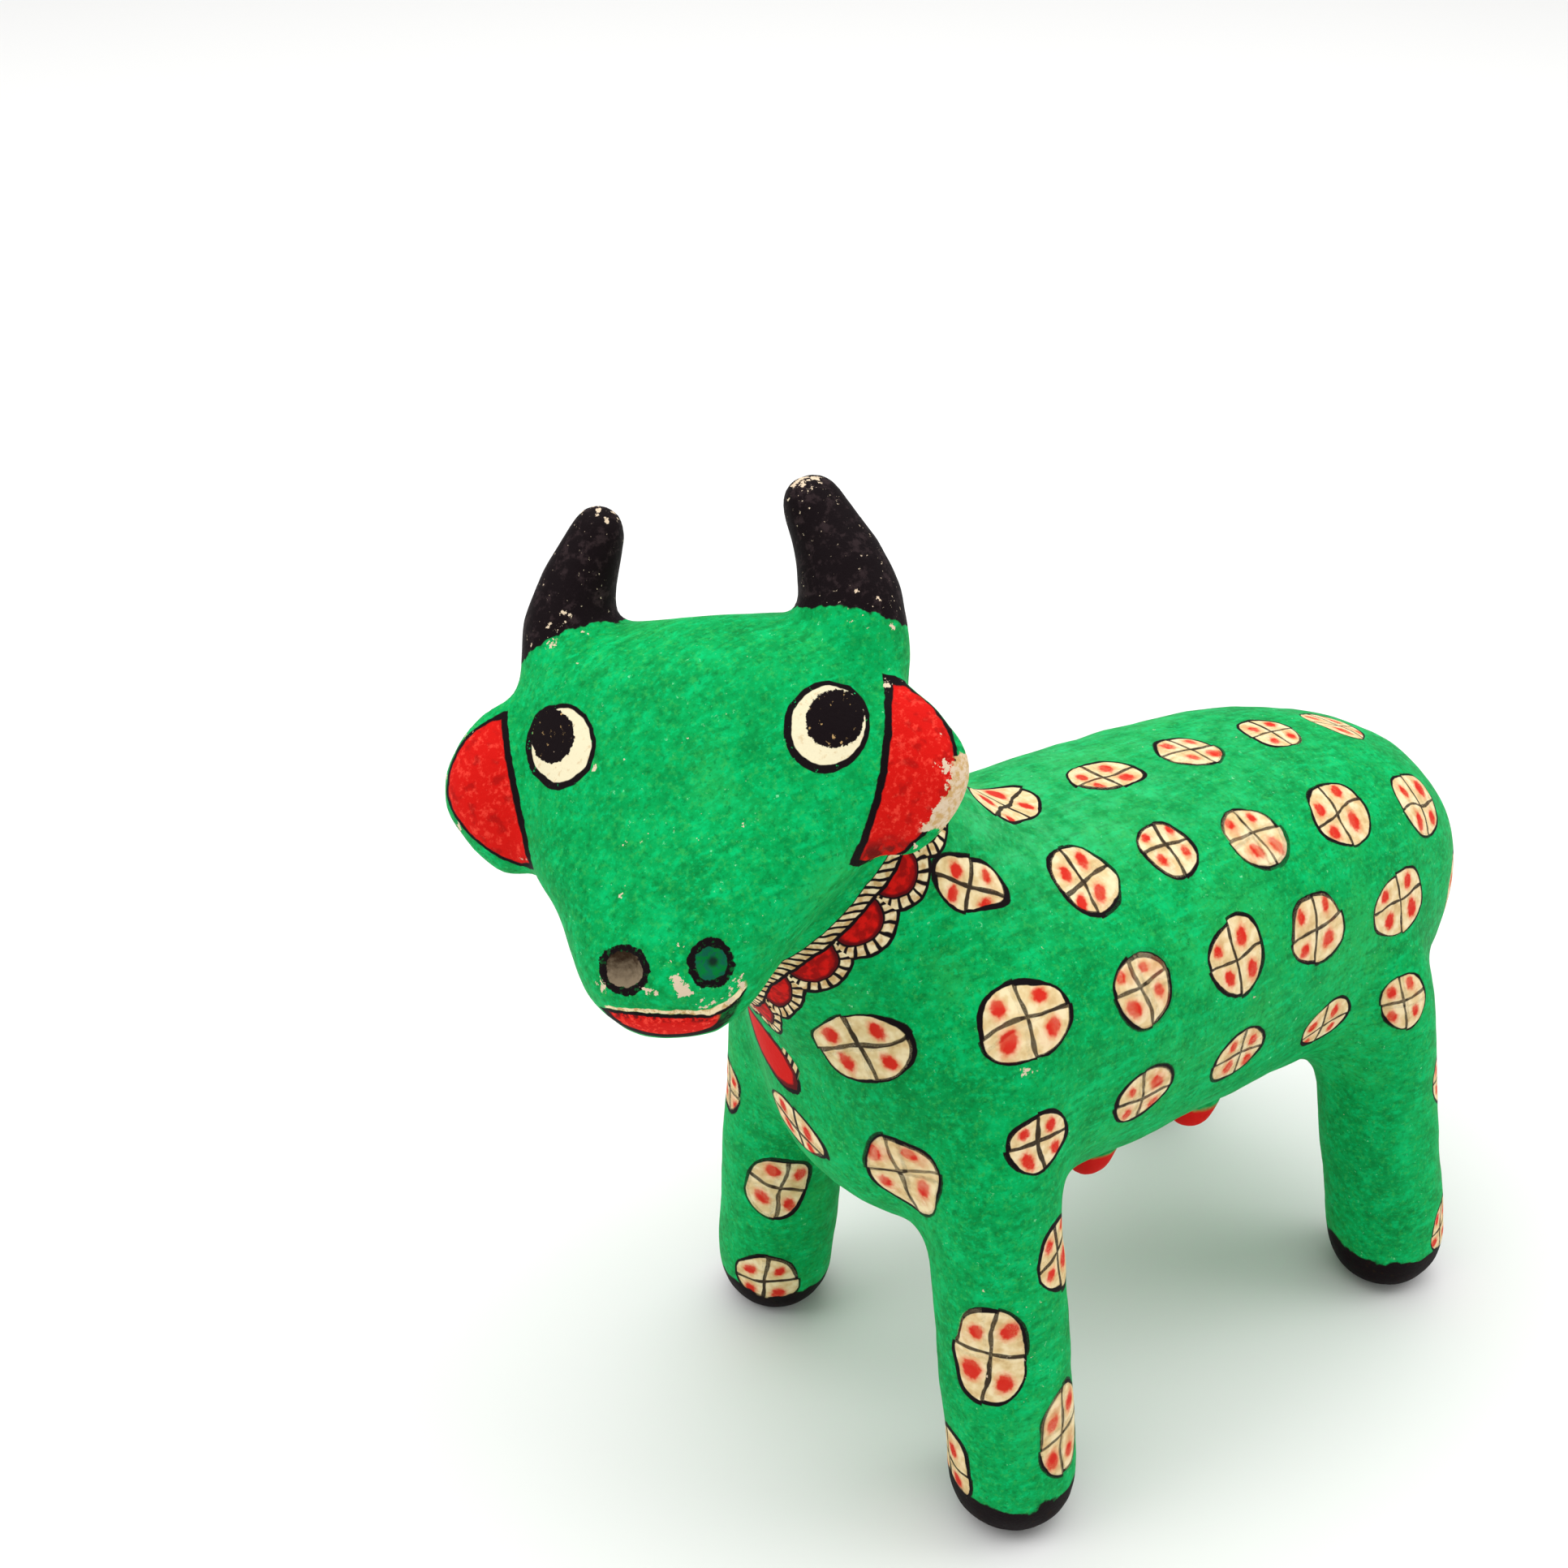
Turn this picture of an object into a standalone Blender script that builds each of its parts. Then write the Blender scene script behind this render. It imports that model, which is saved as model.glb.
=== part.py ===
"""Papier-mache cow: a small hand-built standing figure with its head turned to its left.

The figure is one solid. Its trunk, legs, neck, head, ears, horns, teats and tail are laid up
as one skin of paper pulp, so they are modelled as overlapping forms that are fused and
smoothed into one surface. Units are metres. +X is the way the body faces, +Y is the cow's
left and +Z is up. The origin is the bottom centre of the figure's box.
"""

import math

import bmesh
import bpy
from mathutils import Matrix, Vector
from mathutils.bvhtree import BVHTree

# Trunk: a barrel along X, lower and narrower at the rump than at the chest. A higher bluntness
# makes an end squarer, and a higher squareness makes the cross section squarer.
RUMP_X = -0.0805
CHEST_X = 0.0720
RUMP_CENTRE_Z = 0.0785
CHEST_CENTRE_Z = 0.0890
RUMP_HALF_HEIGHT = 0.0333
CHEST_HALF_HEIGHT = 0.0326
RUMP_HALF_WIDTH = 0.0340
CHEST_HALF_WIDTH = 0.0385
TRUNK_BLUNTNESS = 3.0
CHEST_BLUNTNESS = 3.4
TRUNK_SQUARENESS = 2.3
TRUNK_SECTIONS = 25

# Brisket: the keel of the chest, between the front legs.
BRISKET_X = 0.0480
BRISKET_Z = 0.0745
BRISKET_HALF_LENGTH = 0.0240
BRISKET_HALF_WIDTH = 0.0300
BRISKET_HALF_HEIGHT = 0.0260

# Legs: round posts that splay a little, one at each corner of the stance. Inside the body each
# one runs on past the hip, up to a shoulder or a haunch.
FRONT_FOOT_X = 0.0514
REAR_FOOT_X = -0.0514
FOOT_Y = 0.0353
FRONT_HIP_X = 0.0537
REAR_HIP_X = -0.0415
FRONT_HIP_Y = 0.0273
REAR_HIP_Y = 0.0285
HIP_Z = 0.0700
SHOULDER_X = 0.0490
SHOULDER_Y = 0.0225
SHOULDER_Z = 0.0960
HAUNCH_X = -0.0390
HAUNCH_Y = 0.0200
HAUNCH_Z = 0.0850
LEG_RADIUS_FOOT = 0.0121
LEG_RADIUS_HIP = 0.0120
SOLE_ROUNDING = 0.0080
SOLE_LIFT = 0.7

# Neck: from inside the shoulders up to the back of the head.
NECK_BASE = Vector((0.0360, 0.0, 0.0860))
NECK_RADIUS_BASE = 0.0320
NECK_RADIUS_TOP = 0.0210

# Head: where it stands, and how it is turned. Yaw 0 faces along +X, and a positive yaw
# turns it to the cow's left. The face leans back by the pitch.
HEAD_CENTRE = Vector((0.0905, -0.0050, 0.1437))
HEAD_YAW = math.radians(42.0)
HEAD_PITCH = math.radians(25.0)
HEAD_ROLL = math.radians(8.0)
HEAD_LENGTH = 0.0640
HEAD_HALF_WIDTH = 0.0300
HEAD_HALF_DEPTH = 0.0200

# Sections of the head from the poll to the lips. Each is the place along the head, then the
# half width, the half depth, the forward shift and the shift to the cow's left of the section's
# centre, all as shares of the head's length, half width, half depth, half depth and half width.
HEAD_SECTIONS = (
    (0.00, 0.45, 0.35, -0.95, 0.00),
    (0.05, 0.86, 0.65, -0.90, 0.00),
    (0.12, 0.98, 0.85, -0.85, 0.00),
    (0.28, 1.00, 1.00, -0.80, 0.00),
    (0.46, 0.96, 1.00, -0.65, 0.00),
    (0.60, 0.86, 0.95, -0.44, -0.01),
    (0.68, 0.70, 0.86, -0.28, -0.02),
    (0.76, 0.59, 0.78, -0.14, -0.07),
    (0.85, 0.485, 0.68, -0.04, -0.105),
    (0.925, 0.375, 0.54, -0.02, -0.12),
    (0.98, 0.20, 0.32, -0.02, -0.12),
)
HEAD_TOP_ABOVE_CENTRE = 0.0250
HEAD_SQUARENESS = 2.3

# Ears: thick flaps on the sides of the head, facing forward. Each one's way out and up in the
# head's own frame, and how round its outline is: 2 is an ellipse, and less is more pointed.
RIGHT_EAR = (-0.0306, -0.0002, 1.5)
LEFT_EAR = (0.0312, 0.0, 1.4)
EAR_BACK = 0.0100
EAR_HALF_SPAN = 0.0115
EAR_HALF_HEIGHT = 0.0145
EAR_HALF_THICKNESS = 0.0062

# Horns: tapered posts that rise from the poll and lean inwards. Each one's way out from the
# middle at the root and at the tip, the height of its tip and its outward bow, all in the head's
# own frame, then its girth as a share of the usual one.
RIGHT_HORN = (-0.0194, -0.0152, 0.0440, 0.0034, 0.95)
LEFT_HORN = (0.0221, 0.0193, 0.0462, 0.0032, 1.05)
HORN_ROOT_UP = 0.0120
HORN_BACK = 0.0160
HORN_RADIUS_ROOT = 0.0097
HORN_RADIUS_TIP = 0.0048
HORN_FULLNESS = 1.3

# Teats: two pairs of small cones under the belly.
TEAT_X = (-0.0095, 0.0175)
TEAT_Y = 0.0150
TEAT_RADIUS = 0.0060
TEAT_DROP = 0.0068

# Nostrils: two shallow round pits in the front of the muzzle. Each one's share of the way along
# the head, its share of the half width there, then the radius and the depth of the pit.
NOSTRILS = (
    (0.795, -0.36, 0.0031, 0.0021),
    (0.781, 0.42, 0.0026, 0.0011),
)

# Mouth: a groove under the upper lip, as points on the front of the muzzle. Each one's share of
# the way along the head and its share of the half width there.
MOUTH = (
    (0.912, -0.72),
    (0.903, -0.43),
    (0.900, -0.20),
    (0.896, 0.10),
    (0.900, 0.34),
    (0.903, 0.56),
    (0.889, 0.75),
    (0.860, 0.82),
)
MOUTH_GROOVE_RADIUS = 0.0009

# Tail: a low cord of pulp down the middle of the rump, with a thicker tuft.
TAIL_TOP_Z = 0.0900
TAIL_END_Z = 0.0500
TAIL_RADIUS = 0.0040
TUFT_RADIUS = 0.0052
TUFT_STARTS = 0.8
TAIL_STEPS = 8

# How the forms are fused: the grid that the skin is laid on, the smoothing that makes the
# fillets, and the number of triangles that is kept.
GRID = 0.0015
BODY_SMOOTHING = 60
HEAD_SMOOTHING = 12
SKIN_SMOOTHING = 4
SKIN_TRIANGLES = 8000
RING_POINTS = 32
CAP_RINGS = 5


def clear_scene():
    """Removes every object, so that the script can run in any scene."""
    for obj in list(bpy.data.objects):
        bpy.data.objects.remove(obj)


def axes_along(direction, side=Vector((0.0, 1.0, 0.0))):
    """Two unit vectors square to a direction, the first as near to side as it can be."""
    forward = direction.normalized()
    across = (side - forward * side.dot(forward)).normalized()
    return across, forward.cross(across)


def ring(bm, centre, across, up, half_across, half_up, power=2.0):
    """Adds the corners of one section, an ellipse at power 2 and squarer above it."""
    points = []
    for index in range(RING_POINTS):
        angle = 2.0 * math.pi * index / RING_POINTS
        c, s = math.cos(angle), math.sin(angle)
        a = math.copysign(abs(c) ** (2.0 / power), c) * half_across
        b = math.copysign(abs(s) ** (2.0 / power), s) * half_up
        points.append(bm.verts.new(centre + across * a + up * b))
    return points


def loft(bm, sections):
    """Skins a row of sections, each (centre, across, up, half_across, half_up, power)."""
    rings = [ring(bm, *section) for section in sections]
    for near, far in zip(rings, rings[1:]):
        for index in range(RING_POINTS):
            after = (index + 1) % RING_POINTS
            bm.faces.new((near[index], near[after], far[after], far[index]))
    bm.faces.new(list(reversed(rings[0])))
    bm.faces.new(rings[-1])


def capsule(bm, path, radii, rounding_start, rounding_end):
    """A round bar through the points of path, with a rounded end of the given depth at each side."""
    directions = []
    for index in range(len(path)):
        before = path[max(index - 1, 0)]
        after = path[min(index + 1, len(path) - 1)]
        directions.append((after - before).normalized())
    sections = []
    for step in range(1, CAP_RINGS + 1):
        turn = 0.5 * math.pi * step / (CAP_RINGS + 1)
        centre = path[0] - directions[0] * rounding_start * math.cos(turn)
        across, up = axes_along(directions[0])
        radius = radii[0] * math.sin(turn)
        sections.append((centre, across, up, radius, radius, 2.0))
    for point, direction, radius in zip(path, directions, radii):
        across, up = axes_along(direction)
        sections.append((point, across, up, radius, radius, 2.0))
    for step in range(CAP_RINGS, 0, -1):
        turn = 0.5 * math.pi * step / (CAP_RINGS + 1)
        centre = path[-1] + directions[-1] * rounding_end * math.cos(turn)
        across, up = axes_along(directions[-1])
        radius = radii[-1] * math.sin(turn)
        sections.append((centre, across, up, radius, radius, 2.0))
    loft(bm, sections)


def mix(a, b, share):
    """The value or point that lies the given share of the way from a to b."""
    return a + (b - a) * share


def trunk(bm):
    """The barrel of the body, blunt at both ends."""
    sections = []
    for step in range(1, TRUNK_SECTIONS + 1):
        turn = math.pi * step / (TRUNK_SECTIONS + 1)
        along = 0.5 - 0.5 * math.cos(turn)
        bluntness = CHEST_BLUNTNESS if along > 0.5 else TRUNK_BLUNTNESS
        swell = (1.0 - abs(2.0 * along - 1.0) ** bluntness) ** (1.0 / bluntness)
        centre = Vector((mix(RUMP_X, CHEST_X, along), 0.0, mix(RUMP_CENTRE_Z, CHEST_CENTRE_Z, along)))
        half_width = mix(RUMP_HALF_WIDTH, CHEST_HALF_WIDTH, along) * swell
        half_height = mix(RUMP_HALF_HEIGHT, CHEST_HALF_HEIGHT, along) * swell
        sections.append((centre, Vector((0, 1, 0)), Vector((0, 0, 1)), half_width, half_height,
                         TRUNK_SQUARENESS))
    loft(bm, sections)


def brisket(bm):
    """The chest's keel, which hangs lower than the belly between the front legs."""
    place = Matrix.Translation((BRISKET_X, 0.0, BRISKET_Z))
    size = Matrix.Diagonal((BRISKET_HALF_LENGTH, BRISKET_HALF_WIDTH, BRISKET_HALF_HEIGHT, 1.0))
    bmesh.ops.create_uvsphere(bm, u_segments=32, v_segments=20, radius=1.0, matrix=place @ size)


def leg(bm, foot, hip, top):
    """One leg, from inside the body down past the hip to just below the ground, where it is cut flat."""
    ankle = foot + Vector((0.0, 0.0, SOLE_ROUNDING * SOLE_LIFT))
    knee_radius = mix(LEG_RADIUS_HIP, LEG_RADIUS_FOOT, 0.5)
    path = [top, hip, mix(hip, ankle, 0.35), mix(hip, ankle, 0.7), ankle]
    radii = [LEG_RADIUS_HIP, LEG_RADIUS_HIP, knee_radius, LEG_RADIUS_FOOT, LEG_RADIUS_FOOT]
    capsule(bm, path, radii, LEG_RADIUS_HIP, SOLE_ROUNDING)


def legs(bm):
    """The four legs."""
    for side in (-1.0, 1.0):
        leg(bm, Vector((FRONT_FOOT_X, side * FOOT_Y, 0.0)),
            Vector((FRONT_HIP_X, side * FRONT_HIP_Y, HIP_Z)),
            Vector((SHOULDER_X, side * SHOULDER_Y, SHOULDER_Z)))
        leg(bm, Vector((REAR_FOOT_X, side * FOOT_Y, 0.0)),
            Vector((REAR_HIP_X, side * REAR_HIP_Y, HIP_Z)),
            Vector((HAUNCH_X, side * HAUNCH_Y, HAUNCH_Z)))


def head_frame():
    """The head's place and turn: X runs to the cow's left, Y out of the face and Z up it."""
    turn = Matrix.Rotation(HEAD_YAW - math.pi / 2.0, 4, "Z")
    lean = Matrix.Rotation(HEAD_PITCH, 4, "X")
    roll = Matrix.Rotation(HEAD_ROLL, 4, "Y")
    flip = Matrix.Scale(-1.0, 4, (1, 0, 0))
    return Matrix.Translation(HEAD_CENTRE) @ turn @ lean @ roll @ flip


def on_head(point):
    """A point of the head's own frame, in the figure's frame."""
    return head_frame() @ Vector(point)


def head(bm):
    """The skull and muzzle, as one row of sections from the poll to the lips."""
    basis = head_frame().to_3x3()
    across, out = basis @ Vector((1, 0, 0)), basis @ Vector((0, 1, 0))
    sections = []
    for along, wide, deep, forward, aside in HEAD_SECTIONS:
        centre = on_head((aside * HEAD_HALF_WIDTH, forward * HEAD_HALF_DEPTH,
                          HEAD_TOP_ABOVE_CENTRE - along * HEAD_LENGTH))
        sections.append((centre, across, out, wide * HEAD_HALF_WIDTH, deep * HEAD_HALF_DEPTH,
                         HEAD_SQUARENESS))
    loft(bm, sections)


def neck(bm):
    """The neck, from the shoulders to the middle of the head."""
    top = on_head((0.0, -HEAD_HALF_DEPTH, 0.0))
    capsule(bm, [NECK_BASE, mix(NECK_BASE, top, 0.5), top],
            [NECK_RADIUS_BASE, mix(NECK_RADIUS_BASE, NECK_RADIUS_TOP, 0.6), NECK_RADIUS_TOP],
            NECK_RADIUS_BASE, NECK_RADIUS_TOP * 0.3)


def ears(bm):
    """The two ears, flattened balls that face forward."""
    for out, up, roundness in (RIGHT_EAR, LEFT_EAR):
        place = head_frame() @ Matrix.Translation((out, -EAR_BACK, up))
        size = Matrix.Diagonal((EAR_HALF_SPAN, EAR_HALF_THICKNESS, EAR_HALF_HEIGHT, 1.0))
        ball = bmesh.ops.create_uvsphere(bm, u_segments=24, v_segments=16, radius=1.0)
        for vertex in ball["verts"]:
            x, y, z = vertex.co
            reach = (abs(x) ** roundness + abs(z) ** roundness) ** (1.0 / roundness)
            pull = math.hypot(x, z) / max(reach, 1e-9)
            vertex.co = place @ size @ Vector((x * pull, y, z * pull))


def horns(bm):
    """The two horns, leaning inwards with a slight bow."""
    shares = (0.0, 0.25, 0.5, 0.75, 1.0)
    for root_out, tip_out, tip_up, bow_out, girth in (RIGHT_HORN, LEFT_HORN):
        path = []
        for share in shares:
            bow = math.copysign(bow_out * math.sin(math.pi * share), root_out)
            up = mix(HORN_ROOT_UP, tip_up - HORN_RADIUS_TIP, share)
            path.append(on_head((mix(root_out, tip_out, share) + bow, -HORN_BACK, up)))
        radii = [girth * mix(HORN_RADIUS_ROOT, HORN_RADIUS_TIP, share ** HORN_FULLNESS) for share in shares]
        capsule(bm, path, radii, HORN_RADIUS_ROOT, HORN_RADIUS_TIP)


def on_face(skin, along, across):
    """The point of the skin, and the way out of it, nearest a place on the front of the head."""
    for near, far in zip(HEAD_SECTIONS, HEAD_SECTIONS[1:]):
        if along <= far[0]:
            break
    share = (along - near[0]) / (far[0] - near[0])
    wide, deep, forward, aside = (mix(near[index], far[index], share) for index in (1, 2, 3, 4))
    front = deep * (1.0 - abs(across) ** HEAD_SQUARENESS) ** (1.0 / HEAD_SQUARENESS)
    point = on_head(((aside + across * wide) * HEAD_HALF_WIDTH, (forward + front) * HEAD_HALF_DEPTH,
                     HEAD_TOP_ABOVE_CENTRE - along * HEAD_LENGTH))
    place, way_out, face, gap = skin.find_nearest(point)
    return place, way_out


def nostrils(bm, skin):
    """The balls that press the two nostril pits into the muzzle."""
    for along, across, radius, depth in NOSTRILS:
        place, way_out = on_face(skin, along, across)
        ball = (radius ** 2 + depth ** 2) / (2.0 * depth)
        centre = Matrix.Translation(place + way_out * (ball - depth))
        bmesh.ops.create_uvsphere(bm, u_segments=24, v_segments=16, radius=ball, matrix=centre)


def mouth(bm, skin):
    """The round bar that cuts the groove of the mouth."""
    path = [on_face(skin, along, across)[0] for along, across in MOUTH]
    capsule(bm, path, [MOUTH_GROOVE_RADIUS] * len(path), MOUTH_GROOVE_RADIUS, MOUTH_GROOVE_RADIUS)


def belly_z(x):
    """The height of the belly's lowest line at x."""
    along = (x - RUMP_X) / (CHEST_X - RUMP_X)
    return mix(RUMP_CENTRE_Z, CHEST_CENTRE_Z, along) - mix(RUMP_HALF_HEIGHT, CHEST_HALF_HEIGHT, along)


def teats(bm):
    """The four teats under the belly."""
    for x in TEAT_X:
        for side in (-1.0, 1.0):
            tip = Vector((x, side * TEAT_Y, belly_z(x) - TEAT_DROP + TEAT_RADIUS * 0.7))
            root = tip + Vector((0.0, 0.0, TEAT_DROP + TEAT_RADIUS))
            capsule(bm, [root, mix(root, tip, 0.5), tip],
                    [TEAT_RADIUS * 1.3, TEAT_RADIUS * 1.1, TEAT_RADIUS * 0.8],
                    TEAT_RADIUS, TEAT_RADIUS * 0.7)


def rump_x(z):
    """Where the middle of the rump's surface lies at the height z."""
    swell = min(abs(z - RUMP_CENTRE_Z) / RUMP_HALF_HEIGHT, 1.0)
    from_middle = (1.0 - swell ** TRUNK_BLUNTNESS) ** (1.0 / TRUNK_BLUNTNESS)
    return mix(RUMP_X, CHEST_X, 0.5 - 0.5 * from_middle)


def tail(bm):
    """The tail, lying on the rump and ending in a tuft between the rear legs."""
    path = []
    radii = []
    for step in range(TAIL_STEPS + 1):
        share = step / TAIL_STEPS
        z = mix(TAIL_TOP_Z, TAIL_END_Z, share)
        path.append(Vector((rump_x(z), 0.0, z)))
        radii.append(TUFT_RADIUS if share > TUFT_STARTS else TAIL_RADIUS)
    capsule(bm, path, radii, TAIL_RADIUS, TUFT_RADIUS)


def fused(name, makers, base, smoothing):
    """One closed skin round all the forms that makers add, and round the base mesh if there is one."""
    bm = bmesh.new()
    if base:
        bm.from_mesh(base)
    for maker in makers:
        maker(bm)
    bmesh.ops.recalc_face_normals(bm, faces=bm.faces)
    mesh = bpy.data.meshes.new(name)
    bm.to_mesh(mesh)
    bm.free()
    obj = bpy.data.objects.new(name, mesh)
    bpy.context.scene.collection.objects.link(obj)
    remesh = obj.modifiers.new("Skin", "REMESH")
    remesh.mode = "VOXEL"
    remesh.voxel_size = GRID
    smooth = obj.modifiers.new("Fillets", "SMOOTH")
    smooth.factor = 0.5
    smooth.iterations = smoothing
    bpy.context.view_layer.update()
    graph = bpy.context.evaluated_depsgraph_get()
    skin = bpy.data.meshes.new_from_object(obj.evaluated_get(graph))
    bpy.data.objects.remove(obj)
    return skin


def carved(skin, makers):
    """The same skin with the forms that makers add cut out of it."""
    body = bpy.data.objects.new("carved", skin)
    bpy.context.scene.collection.objects.link(body)
    tree = BVHTree.FromPolygons([v.co for v in skin.vertices], [p.vertices for p in skin.polygons])
    tools = []
    for maker in makers:
        bm = bmesh.new()
        maker(bm, tree)
        bmesh.ops.recalc_face_normals(bm, faces=bm.faces)
        mesh = bpy.data.meshes.new(maker.__name__)
        bm.to_mesh(mesh)
        bm.free()
        tool = bpy.data.objects.new(maker.__name__, mesh)
        bpy.context.scene.collection.objects.link(tool)
        cut = body.modifiers.new(maker.__name__, "BOOLEAN")
        cut.operation = "DIFFERENCE"
        cut.solver = "EXACT"
        cut.object = tool
        tools.append(tool)
    bpy.context.view_layer.update()
    graph = bpy.context.evaluated_depsgraph_get()
    cut_skin = bpy.data.meshes.new_from_object(body.evaluated_get(graph))
    for obj in tools + [body]:
        bpy.data.objects.remove(obj)
    return cut_skin


def thinned(skin):
    """The same skin with about SKIN_TRIANGLES triangles."""
    obj = bpy.data.objects.new("thinned", skin)
    bpy.context.scene.collection.objects.link(obj)
    skin.calc_loop_triangles()
    decimate = obj.modifiers.new("Fewer faces", "DECIMATE")
    decimate.ratio = min(1.0, SKIN_TRIANGLES / len(skin.loop_triangles))
    bpy.context.view_layer.update()
    graph = bpy.context.evaluated_depsgraph_get()
    thin = bpy.data.meshes.new_from_object(obj.evaluated_get(graph))
    bpy.data.objects.remove(obj)
    return thin


def cut_soles(skin):
    """Cuts the legs off flat at the ground, and closes the four soles."""
    bm = bmesh.new()
    bm.from_mesh(skin)
    bmesh.ops.bisect_plane(bm, geom=bm.verts[:] + bm.edges[:] + bm.faces[:], dist=1e-6,
                           plane_co=(0, 0, 0), plane_no=(0, 0, -1), clear_outer=True)
    bmesh.ops.holes_fill(bm, edges=[e for e in bm.edges if e.is_boundary])
    bmesh.ops.triangulate(bm, faces=bm.faces)
    bmesh.ops.recalc_face_normals(bm, faces=bm.faces)
    bm.to_mesh(skin)
    bm.free()


def centre_on_box(skin):
    """Moves the skin so that the bottom centre of its box is the origin."""
    xs = [v.co.x for v in skin.vertices]
    ys = [v.co.y for v in skin.vertices]
    zs = [v.co.z for v in skin.vertices]
    middle = Vector(((min(xs) + max(xs)) / 2, (min(ys) + max(ys)) / 2, min(zs)))
    skin.transform(Matrix.Translation(-middle))


def painted_pulp():
    """The cow's ground colour: matt green poster paint."""
    material = bpy.data.materials.new("green_paint")
    material.use_nodes = True
    shader = material.node_tree.nodes["Principled BSDF"]
    shader.inputs["Base Color"].default_value = (0.0, 0.33, 0.09, 1.0)
    shader.inputs["Roughness"].default_value = 0.6
    shader.inputs["Metallic"].default_value = 0.0
    return material


def main():
    clear_scene()
    body = fused("body", (trunk, brisket, legs, neck), None, BODY_SMOOTHING)
    bust = fused("bust", (head, ears), body, HEAD_SMOOTHING)
    skin = fused("skin", (horns, teats, tail), bust, SKIN_SMOOTHING)
    skin = thinned(skin)
    skin = carved(skin, (nostrils, mouth))
    cut_soles(skin)
    centre_on_box(skin)
    skin.materials.clear()
    skin.materials.append(painted_pulp())
    skin.shade_smooth()
    cow = bpy.data.objects.new("cow", skin)
    bpy.context.scene.collection.objects.link(cow)


main()
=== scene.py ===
"""Looks of the papier-mache cow: camera, light, lumpy painted skin and its hand-painted pattern."""
import math
import bmesh
import bpy
import numpy as np
from mathutils import Matrix, Vector, noise
from mathutils.bvhtree import BVHTree


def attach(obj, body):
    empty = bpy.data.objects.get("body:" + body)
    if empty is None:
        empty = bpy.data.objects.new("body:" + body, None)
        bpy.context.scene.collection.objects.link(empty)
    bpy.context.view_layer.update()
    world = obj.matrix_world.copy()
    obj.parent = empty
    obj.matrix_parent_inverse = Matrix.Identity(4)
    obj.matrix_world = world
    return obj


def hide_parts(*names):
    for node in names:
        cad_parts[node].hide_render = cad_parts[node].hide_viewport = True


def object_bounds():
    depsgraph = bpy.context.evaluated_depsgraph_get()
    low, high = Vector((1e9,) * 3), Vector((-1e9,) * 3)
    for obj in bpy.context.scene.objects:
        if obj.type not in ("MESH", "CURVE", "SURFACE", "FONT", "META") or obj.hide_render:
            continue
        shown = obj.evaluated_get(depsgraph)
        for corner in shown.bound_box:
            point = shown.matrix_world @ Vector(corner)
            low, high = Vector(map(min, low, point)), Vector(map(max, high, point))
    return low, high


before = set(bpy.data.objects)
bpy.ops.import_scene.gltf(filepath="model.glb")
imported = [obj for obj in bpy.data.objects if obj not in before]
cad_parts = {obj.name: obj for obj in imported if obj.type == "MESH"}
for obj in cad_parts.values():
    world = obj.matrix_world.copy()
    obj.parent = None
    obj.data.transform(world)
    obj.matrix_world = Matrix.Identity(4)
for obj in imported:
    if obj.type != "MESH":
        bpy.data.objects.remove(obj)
cad_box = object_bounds()

MM = 0.001

# Camera: its place in metres, where it looks, and its lens on a 36 mm sensor.
CAMERA_AT = (0.22996, 0.22189, 0.30000)
CAMERA_LOOK = (-0.52613, -0.69117, -0.49546)
LENS_MM = 48.45
SENSOR_MM = 36.0

# Head: its centre in mm and its turn, as in the solids.
HEAD_AT = np.array((75.63, -5.0, 143.7))
HEAD_YAW = 42.0
HEAD_PITCH = 25.0
HEAD_ROLL = 8.0

# Collar: where the neck starts and the way it runs, and the rope's place along it in mm. In front the
# rope dips, over a part of a turn. Then half the rope's width, and its beads: number, half length
# and slant.
NECK_BASE = (21.1, 0.0, 86.0)
NECK_AXIS = (0.618, -0.258, 0.742)
ROPE_AT = 44.8
ROPE_DIP = 9.5
ROPE_DIP_TURN = 0.072
ROPE_HALF = 1.45
BEADS = 86
BEAD_HALF = 1.05
BEAD_SLANT = 0.55

# Scallops under the rope: the length they share round the neck, how many, how far they are turned
# as a part of a turn, then half width, drop, top, beads for each radian, black band and outer edge
# of the beads, in mm.
COLLAR_ROUND = 148.0
SCALLOPS = 15
SCALLOP_TURN = 0.018
SCALLOP_HALF = 4.1
SCALLOP_DROP = 4.0
SCALLOP_TOP = -1.5
SCALLOP_BEADS = 3.0
SCALLOP_BAND = 2.75
SCALLOP_BEADS_OUT = 2.15

# Nostrils: middle across and up the face, then half sizes, in mm. One small hole is painted black, as painted
# shadow.
NOSTRILS = (((-8.4, -25.9), (4.1, 3.85)), ((4.6, -25.4), (3.3, 3.75)))
HOLE_AT = (4.8, -25.2)

# Eyes: middle and half sizes of the rim, the white and the pupil, across and up the face in mm.
EYES = (
    ((-19.2, 6.65), (6.4, 6.4), (-19.0, 6.85), (5.45, 5.5), (-20.5, 8.2), (4.0, 4.1)),
    ((21.5, 7.4), (6.0, 6.75), (21.7, 7.6), (5.1, 5.75), (22.7, 8.5), (4.1, 4.25)),
)

# Inner ears: side, middle and half sizes in mm, and how square the lower half is. Then their inner
# edges: straight and slanted on the right, bent on the left.
EARS = ((-1.0, (-27.0, 0.0), (12.7, 11.8), 1.6), (1.0, (27.0, 0.0), (13.0, 14.2), 1.45))
EAR_ROOT_RIGHT = -27.8
EAR_SLANT = -0.155
EAR_ROOT_LEFT = 30.3
EAR_BEND = 0.0115
EAR_BEND_UP = 10.0

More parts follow.
